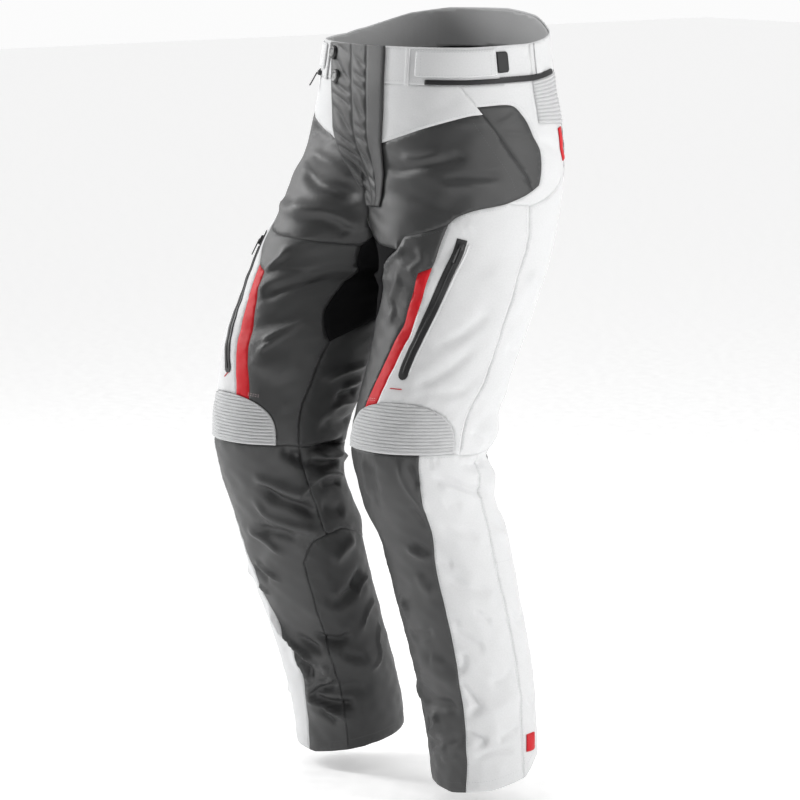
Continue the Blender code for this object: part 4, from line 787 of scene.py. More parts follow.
class Pattern:
    """All seam lines of one side, sampled once so that neighbours share their points."""

    def __init__(self, side):
        self.side = side
        self.places = PLACES[side]
        self.lines = {}
        crotch_top = self.places["crotch_top"]
        self.crotch_top = (middle_angle(side, crotch_top), crotch_top)
        seat_foot = -0.272
        self.seat_foot = (middle_angle(side, seat_foot, False), seat_foot)
        for name, points in SEAMS.items():
            self.lines[name] = smooth_line([self.place(p) for p in points])
        self.add_waist()
        self.add_middle()
        self.add_knee_and_stripe()
        self.add_shin()

    def place(self, point):
        if isinstance(point, str):
            return self.places[point]
        angle, height = point
        return (angle, read_line(HEM, angle) if height is None else height)

    def across(self, start, end, height_at):
        count = max(1, round(abs(end - start) * ARC * 1.5 / STEP))
        return [(a, float(height_at(a))) for a in np.linspace(start, end, count + 1)]

    def add_waist(self):
        side = self.side
        below = lambda a: rim(side, a) - BAND_HEIGHT
        stops = (0.0, 55.0, BAND_SIDE, BAND_BACK, 180.0)
        for k, (start, end) in enumerate(zip(stops, stops[1:])):
            self.lines[f"rim_{k}"] = self.across(start, end, lambda a: rim(side, a))
            self.lines[f"band_{k}"] = self.across(start, end, below)
        side_rim = float(rim(side, BAND_SIDE))
        self.lines["band_side"] = [(BAND_SIDE, side_rim), (BAND_SIDE, side_rim - BAND_HEIGHT)]
        self.lines["pocket_band"] = smooth_line([(55.0, float(below(55))), (65, -0.079)])
        self.lines["accordion_front"] = smooth_line([(BAND_SIDE, float(below(BAND_SIDE))), (98, -0.104)])
        self.lines["accordion_back"] = smooth_line([(BAND_BACK, float(below(BAND_BACK))), (130, -0.109)])

    def down_middle(self, top, bottom, front=True):
        count = max(1, round(abs(top - bottom) / STEP))
        return [(middle_angle(self.side, h, front), h) for h in np.linspace(top, bottom, count + 1)]

    def add_middle(self):
        side = self.side
        band = float(rim(side, 0)) - BAND_HEIGHT
        self.lines["middle_band"] = [(0.0, float(rim(side, 0))), (0.0, band)]
        self.lines["middle_upper"] = self.down_middle(band, -0.132)
        self.lines["middle_hip"] = self.down_middle(-0.132, self.crotch_top[1])
        self.lines["upper_middle"] = smooth_line([self.lines["middle_hip"][0], (9, -0.130)])
        back = float(rim(side, 180)) - BAND_HEIGHT
        self.lines["middle_seat"] = self.down_middle(back, self.seat_foot[1], False)
        gusset_front = self.places["gusset_front"]
        self.lines["gusset_top"] = smooth_line([gusset_front, self.crotch_top])
        self.lines["crotch_front"] = smooth_line([self.places["white_top"], *self.places["crotch_front"],
                                                  gusset_front])
        # Under the crotch, from front to back, by angle
        foot = self.seat_foot[0] - 360.0
        count = round(CROTCH_RUN / STEP)
        self.lines["crotch"] = [self.crotch_top]
        for angle in np.linspace(self.crotch_top[0], foot, count + 1)[1:-1]:
            self.lines["crotch"].append((angle, middle_height(side, angle)))
        self.lines["crotch"].append((foot, self.seat_foot[1]))
        self.lines["seat_foot"] = smooth_line([(146, -0.215), (172, -0.252), self.seat_foot])
        self.lines["gusset_edge"] = smooth_line([gusset_front, *self.places["gusset_edge"], (-62, -0.392)])
        self.lines["gusset_back"] = smooth_line([(-62, -0.392), (-84, -0.366), (-112, -0.318),
                                                 (foot, self.seat_foot[1])])

    def add_knee_and_stripe(self):
        outer, inner = self.places["stripe_foot_outer"], self.places["stripe_foot_inner"]
        ends = (KNEE_CENTRE + KNEE_HALF, outer, inner, KNEE_CENTRE - KNEE_HALF)
        for name, start, end in zip(("arch_outer", "arch_stripe", "arch_inner"), ends, ends[1:]):
            self.lines[name] = knee_arch(start, end)
        for name in ("outer", "inner"):
            top = self.places["stripe_top_" + name]
            foot = self.lines["arch_stripe"][0 if name == "outer" else -1]
            middle = (0.5 * (top[0] + foot[0]) - self.places["stripe_sag"], 0.5 * (top[1] + foot[1]))
            self.lines["stripe_" + name] = smooth_line([top, middle, foot])
        angles = np.linspace(KNEE_CENTRE - KNEE_HALF, KNEE_CENTRE + KNEE_HALF, KNEE_COLUMNS + 1)
        base = [(float(a), KNEE_BASE) for a in angles]
        self.lines["base_front"] = base[:KNEE_SPLIT + 1]
        self.lines["base_side"] = base[KNEE_SPLIT:]

    def add_shin(self):
        points = [self.lines["base_side"][0]] + [self.place(p) for p in self.places["shin_front_seam"]]
        self.lines["shin_front_seam"] = smooth_line(points)
        hem_at = lambda a: read_line(HEM, a)
        stops = (-150, -42, self.lines["shin_front_seam"][-1][0], 88, 148, 210)
        names = ("hem_calf", "hem_front", "hem_side", "hem_rear", "hem_back")
        for name, start, end in zip(names, stops, stops[1:]):
            self.lines[name] = self.across(start, end, hem_at)

    def outline(self, *names):
        """One closed loop of places from seam names; a name with a leading minus runs backwards, and a
        trailing @ adds or takes a whole turn."""
        loop = []
        for name in names:
            shift = 360.0 if name.endswith("@") else 0.0
            name = name.rstrip("@")
            line = self.lines[name.lstrip("-")]
            line = line[::-1] if name.startswith("-") else line
            line = [(a + shift, h) for a, h in line]
            loop.extend(line if not loop else line[1:] if close(loop[-1], line[0]) else line)
        if close(loop[0], loop[-1]):
            loop.pop()
        return loop


def close(one, two):
    return abs(one[0] - two[0]) < 0.05 and abs(one[1] - two[1]) < 0.0002


# Panels of one leg: node, colour, seams round it
PANELS = (
    ("upper_front", "white", ("band_0", "pocket_band", "pocket_top", "-upper_hem", "-upper_middle",
                              "-middle_upper")),
    ("hip_front", "grey", ("upper_middle", "upper_hem", "pocket_mouth", "yoke_side", "yoke_bottom",
                           "crotch_front", "gusset_top", "-middle_hip")),
    ("pocket_facing", "grey", ("yoke_outer", "yoke_foot", "-pocket_mouth", "-pocket_top")),
    ("hip_side", "white", ("band_1", "accordion_front", "accordion_bottom", "hip_back", "-hip_hem_back",
                           "-hip_hem_front", "-yoke_side", "-yoke_foot", "-yoke_outer", "-pocket_band")),
    ("seat", "dark", ("band_3", "middle_seat", "-seat_foot", "-seat_side", "-hip_back", "-accordion_back")),
    ("gusset", "black", ("gusset_top", "crotch", "-gusset_back", "-gusset_edge")),
    ("thigh_front", "grey", ("-crotch_front", "side_edge", "stripe_top", "stripe_inner", "arch_inner",
                             "knee_inner", "-inseam", "-gusset_edge")),
    ("thigh_stripe", "red", ("-stripe_top", "stripe_outer", "arch_stripe", "-stripe_inner")),
    ("thigh_side", "white", ("-yoke_bottom", "hip_hem_front", "side_seam", "-knee_outer", "arch_outer",
                             "-stripe_outer", "-side_edge")),
    ("thigh_rear", "white", ("hip_hem_back", "seat_side", "rear_edge", "-knee_rear", "-knee_gap",
                             "-side_seam")),
    ("thigh_back", "dark", ("seat_foot", "-gusset_back@", "inseam@", "-knee_back", "-rear_edge")),
    ("shin_front", "grey", ("-knee_inner", "base_front", "shin_front_seam", "-hem_front", "-calf_front",
                            "-calf_top_front", "-shin_inseam")),
    ("shin_side", "white", ("base_side", "knee_outer", "knee_gap", "shin_side_seam", "-hem_side",
                            "-shin_front_seam")),
    ("calf_rear", "white", ("knee_rear", "shin_rear_edge", "-hem_rear", "-shin_side_seam")),
    ("shin_back", "dark", ("knee_back", "shin_inseam@", "calf_top_back@", "calf_back@", "-hem_back",
                           "-shin_rear_edge")),
    ("calf_inner", "dark", ("calf_top_front", "calf_front", "-hem_calf", "-calf_back", "-calf_top_back")),
)


# Materials

def cloth_material(name, colour, rough, bump=0.25, mottle=0.06, gloss=0.25):
    """Woven cloth: two crossed thread waves as bump, fine grain, a slight change of tone, and painted shade
    in the weave's dips with a painted highlight on its crests.
    """
    made = bpy.data.materials.new(name)
    made.use_nodes = True
    tree = made.node_tree
    nodes, link = tree.nodes, tree.links.new
    shader = nodes["Principled BSDF"]
    shader.inputs["Roughness"].default_value = rough
    shader.inputs["Specular IOR Level"].default_value = gloss
    place = nodes.new("ShaderNodeTexCoord")
    waves = []
    for direction in ("X", "Y"):
        wave = nodes.new("ShaderNodeTexWave")
        wave.bands_direction = direction
        wave.inputs["Scale"].default_value = WAVE_UNIT / WEAVE
        wave.inputs["Distortion"].default_value = 0.6
        wave.inputs["Detail"].default_value = 1.0
        link(place.outputs["UV"], wave.inputs["Vector"])
        waves.append(wave)
    crossed = nodes.new("ShaderNodeMath")
    crossed.operation = "MULTIPLY"
    link(waves[0].outputs["Fac"], crossed.inputs[0])
    link(waves[1].outputs["Fac"], crossed.inputs[1])
    grain = nodes.new("ShaderNodeTexNoise")
    grain.inputs["Scale"].default_value = 420.0
    grain.inputs["Detail"].default_value = 3.0
    link(place.outputs["UV"], grain.inputs["Vector"])
    height = nodes.new("ShaderNodeMath")
    height.operation = "ADD"
    link(crossed.outputs[0], height.inputs[0])
    link(grain.outputs["Fac"], height.inputs[1])
    relief = nodes.new("ShaderNodeBump")
    relief.inputs["Strength"].default_value = bump
    relief.inputs["Distance"].default_value = 0.0006
    link(height.outputs[0], relief.inputs["Height"])
    link(relief.outputs["Normal"], shader.inputs["Normal"])
    tone = nodes.new("ShaderNodeTexNoise")
    tone.inputs["Scale"].default_value = 9.0
    tone.inputs["Detail"].default_value = 4.0
    link(place.outputs["Object"], tone.inputs["Vector"])
    shades = nodes.new("ShaderNodeMix")
    shades.data_type = "RGBA"
    shades.inputs["A"].default_value = (*[c * (1.0 - mottle) for c in colour], 1.0)
    shades.inputs["B"].default_value = (*[min(1.0, c * (1.0 + mottle)) for c in colour], 1.0)
    link(tone.outputs["Fac"], shades.inputs["Factor"])
    # Painted shade and painted highlight: the colour is darkened where the weave and grain are low and
    # lightened where they are high
    weave_shade = nodes.new("ShaderNodeMix")
    weave_shade.data_type = "RGBA"
    weave_shade.blend_type = "MULTIPLY"
    weave_shade.inputs["Factor"].default_value = 1.0
    link(shades.outputs["Result"], weave_shade.inputs["A"])
    weave_shade_ramp = nodes.new("ShaderNodeMapRange")
    weave_shade_ramp.inputs["To Min"].default_value = 0.86
    weave_shade_ramp.inputs["To Max"].default_value = 1.06
    link(height.outputs[0], weave_shade_ramp.inputs["Value"])
    weave_shade_ramp.inputs["From Max"].default_value = 1.6
    link(weave_shade_ramp.outputs["Result"], weave_shade.inputs["B"])
    link(weave_shade.outputs["Result"], shader.inputs["Base Color"])
    return made


def plain_material(name, colour, rough, bump=0.1, scale=900.0):
    """Moulded or coated surface with a fine grain."""
    made = bpy.data.materials.new(name)
    made.use_nodes = True
    tree = made.node_tree
    nodes, link = tree.nodes, tree.links.new
    shader = nodes["Principled BSDF"]
    place = nodes.new("ShaderNodeTexCoord")
    grain = nodes.new("ShaderNodeTexNoise")
    grain.inputs["Scale"].default_value = scale
    grain.inputs["Detail"].default_value = 3.0
    link(place.outputs["Object"], grain.inputs["Vector"])
    relief = nodes.new("ShaderNodeBump")
    relief.inputs["Strength"].default_value = bump
    relief.inputs["Distance"].default_value = 0.0003
    link(grain.outputs["Fac"], relief.inputs["Height"])
    link(relief.outputs["Normal"], shader.inputs["Normal"])
    wear = nodes.new("ShaderNodeMapRange")
    wear.inputs["To Min"].default_value = rough - 0.06
    wear.inputs["To Max"].default_value = rough + 0.06
    link(grain.outputs["Fac"], wear.inputs["Value"])
    link(wear.outputs["Result"], shader.inputs["Roughness"])
    tint = nodes.new("ShaderNodeMix")
    tint.data_type = "RGBA"
    tint.inputs["A"].default_value = (*[c * 0.85 for c in colour], 1.0)
    tint.inputs["B"].default_value = (*[c * 1.15 for c in colour], 1.0)
    link(grain.outputs["Fac"], tint.inputs["Factor"])
    link(tint.outputs["Result"], shader.inputs["Base Color"])
    return made


CLOTHS = {
    "white": cloth_material("white_woven", (0.745, 0.75, 0.755), 0.80, mottle=0.012),
    "grey": cloth_material("grey_woven", (0.036, 0.0365, 0.037), 0.45, mottle=0.06, bump=0.3, gloss=0.62),
    "dark": cloth_material("dark_woven", (0.027, 0.0275, 0.028), 0.48, mottle=0.06, bump=0.3, gloss=0.5),
    "black": cloth_material("black_stretch", (0.004, 0.004, 0.0045), 0.90, gloss=0.15),
    "red": cloth_material("red_woven", (0.62, 0.004, 0.012), 0.55, mottle=0.03, gloss=0.35),
    "ribbed": cloth_material("white_ribbed", (0.60, 0.605, 0.61), 0.75, mottle=0.02),
    "lining": cloth_material("grey_lining", (0.44, 0.442, 0.445), 0.55, mottle=0.04, bump=0.15, gloss=0.4),
}
BLACK_PLASTIC = plain_material("black_plastic", (0.012, 0.012, 0.013), 0.40)
BLACK_TAPE = plain_material("black_zip_tape", (0.010, 0.010, 0.011), 0.60, 0.3)
BLACK_COATED = plain_material("black_coated_zip", (0.020, 0.020, 0.021), 0.50, 0.08)
BLACK_METAL = plain_material("black_painted_metal", (0.020, 0.020, 0.021), 0.36, 0.15)
THREADS = {
    "white": plain_material("white_thread", (0.56, 0.57, 0.58), 0.7),
    "grey": plain_material("grey_thread", (0.10, 0.102, 0.105), 0.7),
    "pale": plain_material("pale_thread", (0.80, 0.62, 0.62), 0.7),
    "red": plain_material("red_thread", (0.50, 0.01, 0.02), 0.7),
}


# Fine cloth on the surface of the part

def crease_height(side, angle, height):
    """Sum of the fine creases: each a smooth line of places with a half width and a height."""
    shape = np.broadcast(angle, height).shape
    across, up = np.broadcast_arrays(np.asarray(angle, float) * ARC, np.asarray(height, float))
    across, up = across.ravel(), up.ravel()
    total = np.zeros(across.shape)
    drop = BACK_DROP[side]
    back = [(half, rise, [(a, h - drop) for a, h in places]) for half, rise, places in BACK_CREASES]
    for half, rise, places in (*CREASES[side], *back):
        line = np.array(smooth_line(places, 0.006)) * (ARC, 1.0)
        for shift in (-360.0 * ARC, 0.0, 360.0 * ARC):
            low = line.min(axis=0) - 3.0 * half + (shift, 0.0)
            high = line.max(axis=0) + 3.0 * half + (shift, 0.0)
            near = (across > low[0]) & (across < high[0]) & (up > low[1]) & (up < high[1])
            if not near.any():
                continue
            spots = np.stack([across[near] - shift, up[near]], axis=1)
            start, run = line[:-1], np.diff(line, axis=0)
            gap = spots[:, None, :] - start
            part = np.clip((gap * run).sum(2) / (run ** 2).sum(1), 0.0, 1.0)
            away = np.linalg.norm(gap - part[..., None] * run, axis=2)
            best = away.argmin(axis=1)
            pick = np.arange(len(best))
            along = (best + part[pick, best]) / len(run)
            ends = ease(along / CREASE_FADE) * ease((1.0 - along) / CREASE_FADE)
            total[near] += CREASE_GAIN[side] * rise * ends * np.exp(-(away[pick, best] / half) ** 2)
    return total.reshape(shape)


def ripple(angle, height, size, seed):
    """Soft unevenness of about the given size, from -1 to 1, the same on every run."""
    random = np.random.default_rng(seed)
    total = 0.0
    for _ in range(9):
        course = random.uniform(0.0, math.pi)
        number = 2.0 * math.pi / (size * random.uniform(0.7, 1.5))
        total = total + np.sin(number * (angle * ARC * math.cos(course) + height * math.sin(course))
                               + random.uniform(0.0, 6.28))
    return total / 4.0


def fine_point(side, angle, height):
    point, normal = frame_at(lambda a, h: plain_point(side, a, h), angle, height)
    raised = fold_height(side, angle, height) + crease_height(side, angle, height)
    below = ease((WAVER_FROM - height) / WAVER_FADE)
    raised = raised + below * WAVER_DEPTH * ripple(angle, height, WAVER_SIZE, WAVER_SEED)
    return point + raised[..., None] * normal


def fine_frame(side, angle, height, lift=0.0):
    """Point and outward normal on the creased cloth."""
    angle, height = np.asarray(angle, float), np.asarray(height, float)
    point, normal = frame_at(lambda a, h: fine_point(side, a, h), angle, height)
    point = point + lift * normal
    point[..., 0] = np.maximum(point[..., 0], SEAM_GAP / 2)
    mirror = np.array([SIDES[side], 1.0, 1.0])
    point, normal = point * mirror, normal * mirror
    point[..., 0] += swell(LEAN, point[..., 2])
    return point, normal


def on_cloth(side):
    """fine_frame of one leg, as panels, strips and threads take it."""
    return lambda angle, height, lift=0.0: fine_frame(side, angle, height, lift)


def grid_inside(outline, pitch):
    """Staggered points inside an outline and each one's distance from it."""
    flat = np.array(outline) * (ARC, 1.0)
    edge = np.roll(flat, -1, axis=0) - flat
    low, high = flat.min(axis=0), flat.max(axis=0)
    rows = np.arange(low[1] + pitch / 2, high[1], pitch * 0.87)
    columns = np.arange(low[0] - pitch, high[0] + pitch, pitch)
    spots = np.array([(x + (k % 2) * pitch / 2, y) for k, y in enumerate(rows) for x in columns])
    inside = np.zeros(len(spots), int)
    nearest = np.full(len(spots), 1.0)
    for start, run in zip(flat, edge):
        gap = spots - start
        part = np.clip((gap @ run) / max(run @ run, 1e-14), 0.0, 1.0)
        nearest = np.minimum(nearest, np.linalg.norm(gap - part[:, None] * run, axis=1))
        level = (start[1] > spots[:, 1]) != (start[1] + run[1] > spots[:, 1])
        if level.any():
            inside += level & (start[0] + gap[:, 1] * run[0] / (run[1] or 1.0) > spots[:, 0])
    keep = (inside % 2 == 1) & (nearest > 0.45 * pitch)
    return [tuple(spot) for spot in spots[keep] / (ARC, 1.0)], nearest[keep]


def fine_triangles(outline, inside):
    flat = [Vector((a * ARC, h)) for a, h in outline + inside]
    count = len(outline)
    ring = [(k, (k + 1) % count) for k in range(count)]
    points, _, faces, origins, _, _ = delaunay_2d_cdt(flat, ring, [list(range(count))], 1, 1e-8)
    back = [origin[0] for origin in origins]
    return [tuple(back[k] for k in face) for face in faces]


def new_piece(name, vertices, faces, material, uvs=None, body=ROOT):
    mesh = bpy.data.meshes.new(name)
    mesh.from_pydata(np.asarray(vertices, float).tolist(), [], [tuple(map(int, f)) for f in faces])
    if uvs is not None:
        layer = mesh.uv_layers.new(name="cloth")
        corner = np.zeros(len(mesh.loops), np.int32)
        mesh.loops.foreach_get("vertex_index", corner)
        layer.data.foreach_set("uv", np.asarray(uvs, float)[corner].astype(np.float32).ravel())
    mesh.materials.append(material)
    made = bpy.data.objects.new(name, mesh)
    bpy.context.collection.objects.link(made)
    mesh.shade_smooth()
    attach(made, body)
    return made


def leg_uv(side, angles, heights):
    """Texture place in metres on the cloth."""
    _, _, half, front, back, _ = section(side, heights)
    return np.stack([np.radians(angles) * (half + 0.5 * (front + back)) / 2, heights], axis=1)


def cloth_panel(name, side, outline, colour, at=None, thick=CLOTH, roll=SEAM_ROLL):
    """A fine cloth panel over an outline, with its edges turned down into the seams."""
    at = at or on_cloth(side)
    inside, away = grid_inside(outline, FINE)
    faces = fine_triangles(outline, inside)
    count = len(outline)
    angles = np.array([p[0] for p in outline + inside])
    heights = np.array([p[1] for p in outline + inside])
    points, normals = at(angles, heights, 0.0)
    away = np.concatenate([np.zeros(count), away])
    edge = np.exp(-(away / ROLL_WIDTH) ** 2)
    near = np.exp(-(away / PUCKER_WIDTH) ** 2) * (1.0 - edge)
    offset = -roll * edge + PUCKER_DEPTH * near * ripple(angles, heights, PUCKER_SIZE, PUCKER_SEED)
    points = points + offset[:, None] * normals
    low = points - thick * normals
    under = len(points)
    all_faces = [tuple(f) for f in faces] + [tuple(k + under for k in reversed(f)) for f in faces]
    used = {(f[k], f[(k + 1) % 3]) for f in faces for k in range(3)}
    for k in range(count):
        start, end = k, (k + 1) % count
        if (start, end) not in used:
            start, end = end, start
        all_faces.append((end, start, start + under, end + under))
    vertices = np.vstack([points, low])
    if facing_in(vertices, faces, normals):
        all_faces = [tuple(reversed(f)) for f in all_faces]
    uvs = np.tile(leg_uv(side, angles, heights), (2, 1))
    made = new_piece(name, vertices, all_faces, CLOTHS[colour], uvs)
    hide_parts(name.replace("cloth_", ""))


def facing_in(vertices, faces, normals):
    """Whether the outer faces look into the cloth, told from the first ones."""
    first = faces[:50]
    a, b, c = (vertices[list(k)] for k in zip(*first))
    return (np.cross(b - a, c - a) * normals[[f[0] for f in first]]).sum() < 0.0


def walled_grid(outer, inner, normals):
    """Corners, faces and outer quads of a grid of points with a back and closed edges."""
    index = np.arange(outer.shape[0] * outer.shape[1]).reshape(outer.shape[:2])
    corners = [index[:-1, :-1], index[:-1, 1:], index[1:, 1:], index[1:, :-1]]
    quads = np.stack(corners, axis=-1).reshape(-1, 4)
    ring = np.concatenate([index[0, :], index[1:, -1], index[-1, -2::-1], index[-2:0:-1, 0]])
    count = index.size
    faces = [tuple(q) for q in quads] + [tuple(reversed([k + count for k in q])) for q in quads]
    faces += [(b, a, a + count, b + count) for a, b in zip(ring, np.roll(ring, -1))]
    vertices = np.vstack([outer.reshape(-1, 3), inner.reshape(-1, 3)])
    if facing_in(vertices, [tuple(q[:3]) for q in quads], normals.reshape(-1, 3)):
        faces = [tuple(reversed(f)) for f in faces]
    return vertices, faces, quads


# Ribbed panels

def ribbed_panel(name, side, place, ribs, columns, border, lip):
    """Raised ribs over a plain inside. place(u, v) gives the angle and height at a share across and up."""
    rows = ribs * RIB_ROWS
    u, v = np.meshgrid(np.linspace(-1.0, 1.0, columns + 1), np.linspace(0.0, 1.0, rows + 1))
    angles, heights = place(u, v)
    points, normals = fine_frame(side, angles, heights)
    wave = np.abs(np.sin(math.pi * ribs * v)) ** RIB_ROUND
    half_width = np.linalg.norm(np.diff(points, axis=1), axis=2).sum(axis=1, keepdims=True) / 2.0
    length = heights.max() - heights.min()
    from_side = (1.0 - np.abs(u)) * half_width
    from_edge = np.minimum(from_side, (1.0 - v) * length)
    rim_part = 1.0 - ease((from_edge - border * 0.75) / (border * 0.5))
    height = RIB_DEPTH * (1.0 - rim_part) * wave + rim_part * RIB_DEPTH * BORDER_SHARE
    height = height - GROOVE_DEPTH * np.exp(-((from_edge - border) / GROOVE_HALF) ** 2)
    height = height * ease(from_edge / BORDER_SLOPE)
    if lip:
        roll = np.exp(-((v * length - LIP_PLACE) / LIP_HALF) ** 2)
        height = np.maximum(height, LIP_RISE * roll * ease(from_side / LIP_END))
    outer = points + height[..., None] * normals
    vertices, faces, quads = walled_grid(outer, points - RIB_WALL * normals, normals)
    uvs = np.tile(leg_uv(side, angles.ravel(), heights.ravel()), (2, 1))
    made = new_piece("cloth_" + name, vertices, faces, CLOTHS["ribbed"], uvs)
    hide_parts(name)


def knee_place(u, v):
    up = np.minimum(v, 0.992)
    spread = KNEE_HALF * (1.0 - up ** KNEE_POWER) ** 0.5
    return KNEE_CENTRE + spread * u, KNEE_BASE + 0.0002 + (KNEE_HEIGHT - 0.0004) * up


def hip_place(pattern):
    top = np.array(pattern.lines["band_2"])
    ends = np.array(pattern.lines["accordion_bottom"])

    def place(u, v):
        across, down = (u + 1.0) / 2.0, 1.0 - v
        angles = top[0, 0] + across * (top[-1, 0] - top[0, 0])
        heights = np.interp(angles, top[:, 0], top[:, 1]) - 0.0003
        low = ends[0] + across[..., None] * (ends[-1] - ends[0])
        return angles + down * (low[..., 0] - angles), heights + down * (low[..., 1] - heights)
    return place


# Strips, stitches and hardware

def length_along(points):
    """How far along a line each of its points is."""
    return np.concatenate([[0.0], np.cumsum(np.linalg.norm(np.diff(points, axis=0), axis=1))])


def value_along(place, along, values):
    """Three-part value at one place of a line."""
    return np.array([np.interp(place, along, values[:, i]) for i in range(3)])


def strip(name, at, path, sizes, lift, material, crown=0.25, node=None):
    """A band with rounded edges that follows the cloth. sizes is (half width, thickness) or one a place."""
    angles, heights = np.array([p[0] for p in path]), np.array([p[1] for p in path])
    points, normals = at(angles, heights, lift)
    run = np.gradient(points, axis=0)
    run /= np.linalg.norm(run, axis=1, keepdims=True)
    across = np.cross(normals, run)
    across /= np.linalg.norm(across, axis=1, keepdims=True)
    if isinstance(sizes, tuple):
        sizes = [sizes] * len(path)
    half = [(-1.0, 0.0), (-1.0, 0.55), (-0.93, 0.88), (-0.80, 1.0), (-0.4, 1.0 + crown * 0.6)]
    profile = half + [(0.0, 1.0 + crown)] + [(-x, y) for x, y in reversed(half)] + [(0.0, 0.0)]
    vertices, uvs = [], []
    along = length_along(points)
    for k, (wide, high) in enumerate(sizes):
        for x, y in profile:
            vertices.append(points[k] + x * wide * across[k] + y * high * normals[k])
            uvs.append((x * wide, along[k]))
    made = new_piece(name, vertices, tube_faces(len(profile), len(path)), material, uvs)
    if node:
        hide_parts(node)
    return made


def stitches(name, at, lines, material, smooth=True):
    """Sewing thread: small rounded dashes along lines of places."""
    vertices, faces = [], []
    for line in lines:
        fine = smooth_line(line, 0.0010) if smooth else line
        points, normals = at(np.array([p[0] for p in fine]), np.array([p[1] for p in fine]), THREAD_LIFT)
        along = length_along(points)
        pitch = STITCH + STITCH_GAP
        for k in range(int(along[-1] / pitch)):
            start = k * pitch
            a, b = value_along(start, along, points), value_along(start + STITCH, along, points)
            normal = value_along(start, along, normals)
            across = np.cross(normal, b - a)
            across *= THREAD_HALF / np.linalg.norm(across)
            middle = 0.5 * (a + b)
            base = len(vertices)
            vertices += [a, middle + across, b, middle - across, middle + THREAD_HIGH * normal]
            faces += [(base + j, base + (j + 1) % 4, base + 4) for j in range(4)]
    new_piece(name, vertices, faces, material)


def around_back(angle, height, lift=0.0, inset=0.0):
    """Frame on the waist, with angles past 180 on the right side."""
    angle, height = np.asarray(angle, float), np.asarray(height, float)
    left = angle <= 180.0
    own_l = fine_frame("L", np.where(left, angle, 90.0), height, lift)
    own_r = fine_frame("R", np.where(left, 90.0, 360.0 - angle), height, lift)
    point, normal = [np.where(left[..., None], one, two) for one, two in zip(own_l, own_r)]
    return point - inset * normal, normal


def back_rim(angle):
    return float(rim("L", angle) if angle <= 180.0 else rim("R", 360.0 - angle))


def front_point(x, height):
    """Front of the seat at a signed x, with the hollow at the middle bridged."""
    x, height = np.broadcast_arrays(np.asarray(x, float), np.asarray(height, float))
    across = x - swell(LEAN, height)
    out = np.sqrt(across ** 2 + FLAP_BRIDGE ** 2)
    result = np.zeros(x.shape + (3,))
    for side, own in SIDES.items():
        chosen = (across >= 0.0) if own > 0 else (across < 0.0)
        centre, _, half, _, _, power = section(side, height)
        share = np.clip((out - centre) / half, -0.98, 0.98)
        angle = np.degrees(np.arcsin(np.sign(share) * np.abs(share) ** (power / 2.0)))
        point = plain_point(side, angle - own * turn(height), height)
        result[chosen] = point[chosen]
    result[..., 0] = x
    result[..., 2] = height
    return result


def flap_frame(x, height, lift=0.0):
    point, normal = frame_at(front_point, x, height, small=(0.002, 0.002))
    return point + lift * normal, normal


def band_zip_place(side, angle):
    return (angle, float(rim(side, angle)) - BAND_HEIGHT + BAND_ZIP_UP)


def zip_frame(side):
    """Place and axes of the pull tab: its hinge, its run down the zip, the width across and the normal."""
    fine = smooth_line(PLACES[side]["zip"], 0.001)
    spots = np.array([fine[PULL_HINGE], fine[PULL_HINGE + 20]])
    lift = TRIM_LIFT + SLIDER_THICK + PULL_GAP + 0.5 * PULL_THICK
    points, normals = leg_frame(side, spots[:, 0], spots[:, 1], lift)
    run = points[1] - points[0]
    hinge, normal = points[0], normals[0]
    run -= normal * run.dot(normal)
    run /= np.linalg.norm(run)
    return leaned(hinge, run, np.cross(normal, run), normal, PULL_LEAN)


def leaned(hinge, run, across, normal, degrees):
    """A tab's frame turned about its hinge so that its free end stands off the cloth."""
    lean = math.radians(degrees)
    turned_run = math.cos(lean) * run + math.sin(lean) * normal
    return hinge, turned_run, across, np.cross(turned_run, across)


def band_pull_frame(side="R"):
    """The same for the band zip's tab, which hangs down and leans off the cloth."""
    spots = np.array([band_zip_place(side, a) for a in (sum(BAND_SLIDER) / 2, BAND_SLIDER[1])])
    lift = WAIST_LIFT + BAND_SLIDER_SIZE[1] + PULL_GAP + 0.5 * PULL_THICK
    points, normals = leg_frame(side, spots[:, 0], spots[:, 1], lift)
    down = np.cross(normals[0], points[1] - points[0])
    down *= -np.sign(down[2]) / np.linalg.norm(down)
    return leaned(points[0], down, np.cross(normals[0], down), normals[0], BAND_PULL_LEAN)


# Waist and fly flap

def gathered_back(angle, height, lift=0.0, inset=0.0, depth=GATHER_DEPTH):
    """The elastic back of the waist, with upright gathers that fade at its ends and edges."""
    point, normal = around_back(angle, height, lift, inset)
    from_back = np.abs(np.asarray(angle, float) - 180.0)
    start, end = GATHER_SPAN
    held = ease((from_back - start) / GATHER_FADE) * ease((end - from_back) / GATHER_FADE)
    wave = np.sin(np.radians(angle) * GATHER_COUNT) * held
    return point + (depth * wave)[..., None] * normal, normal


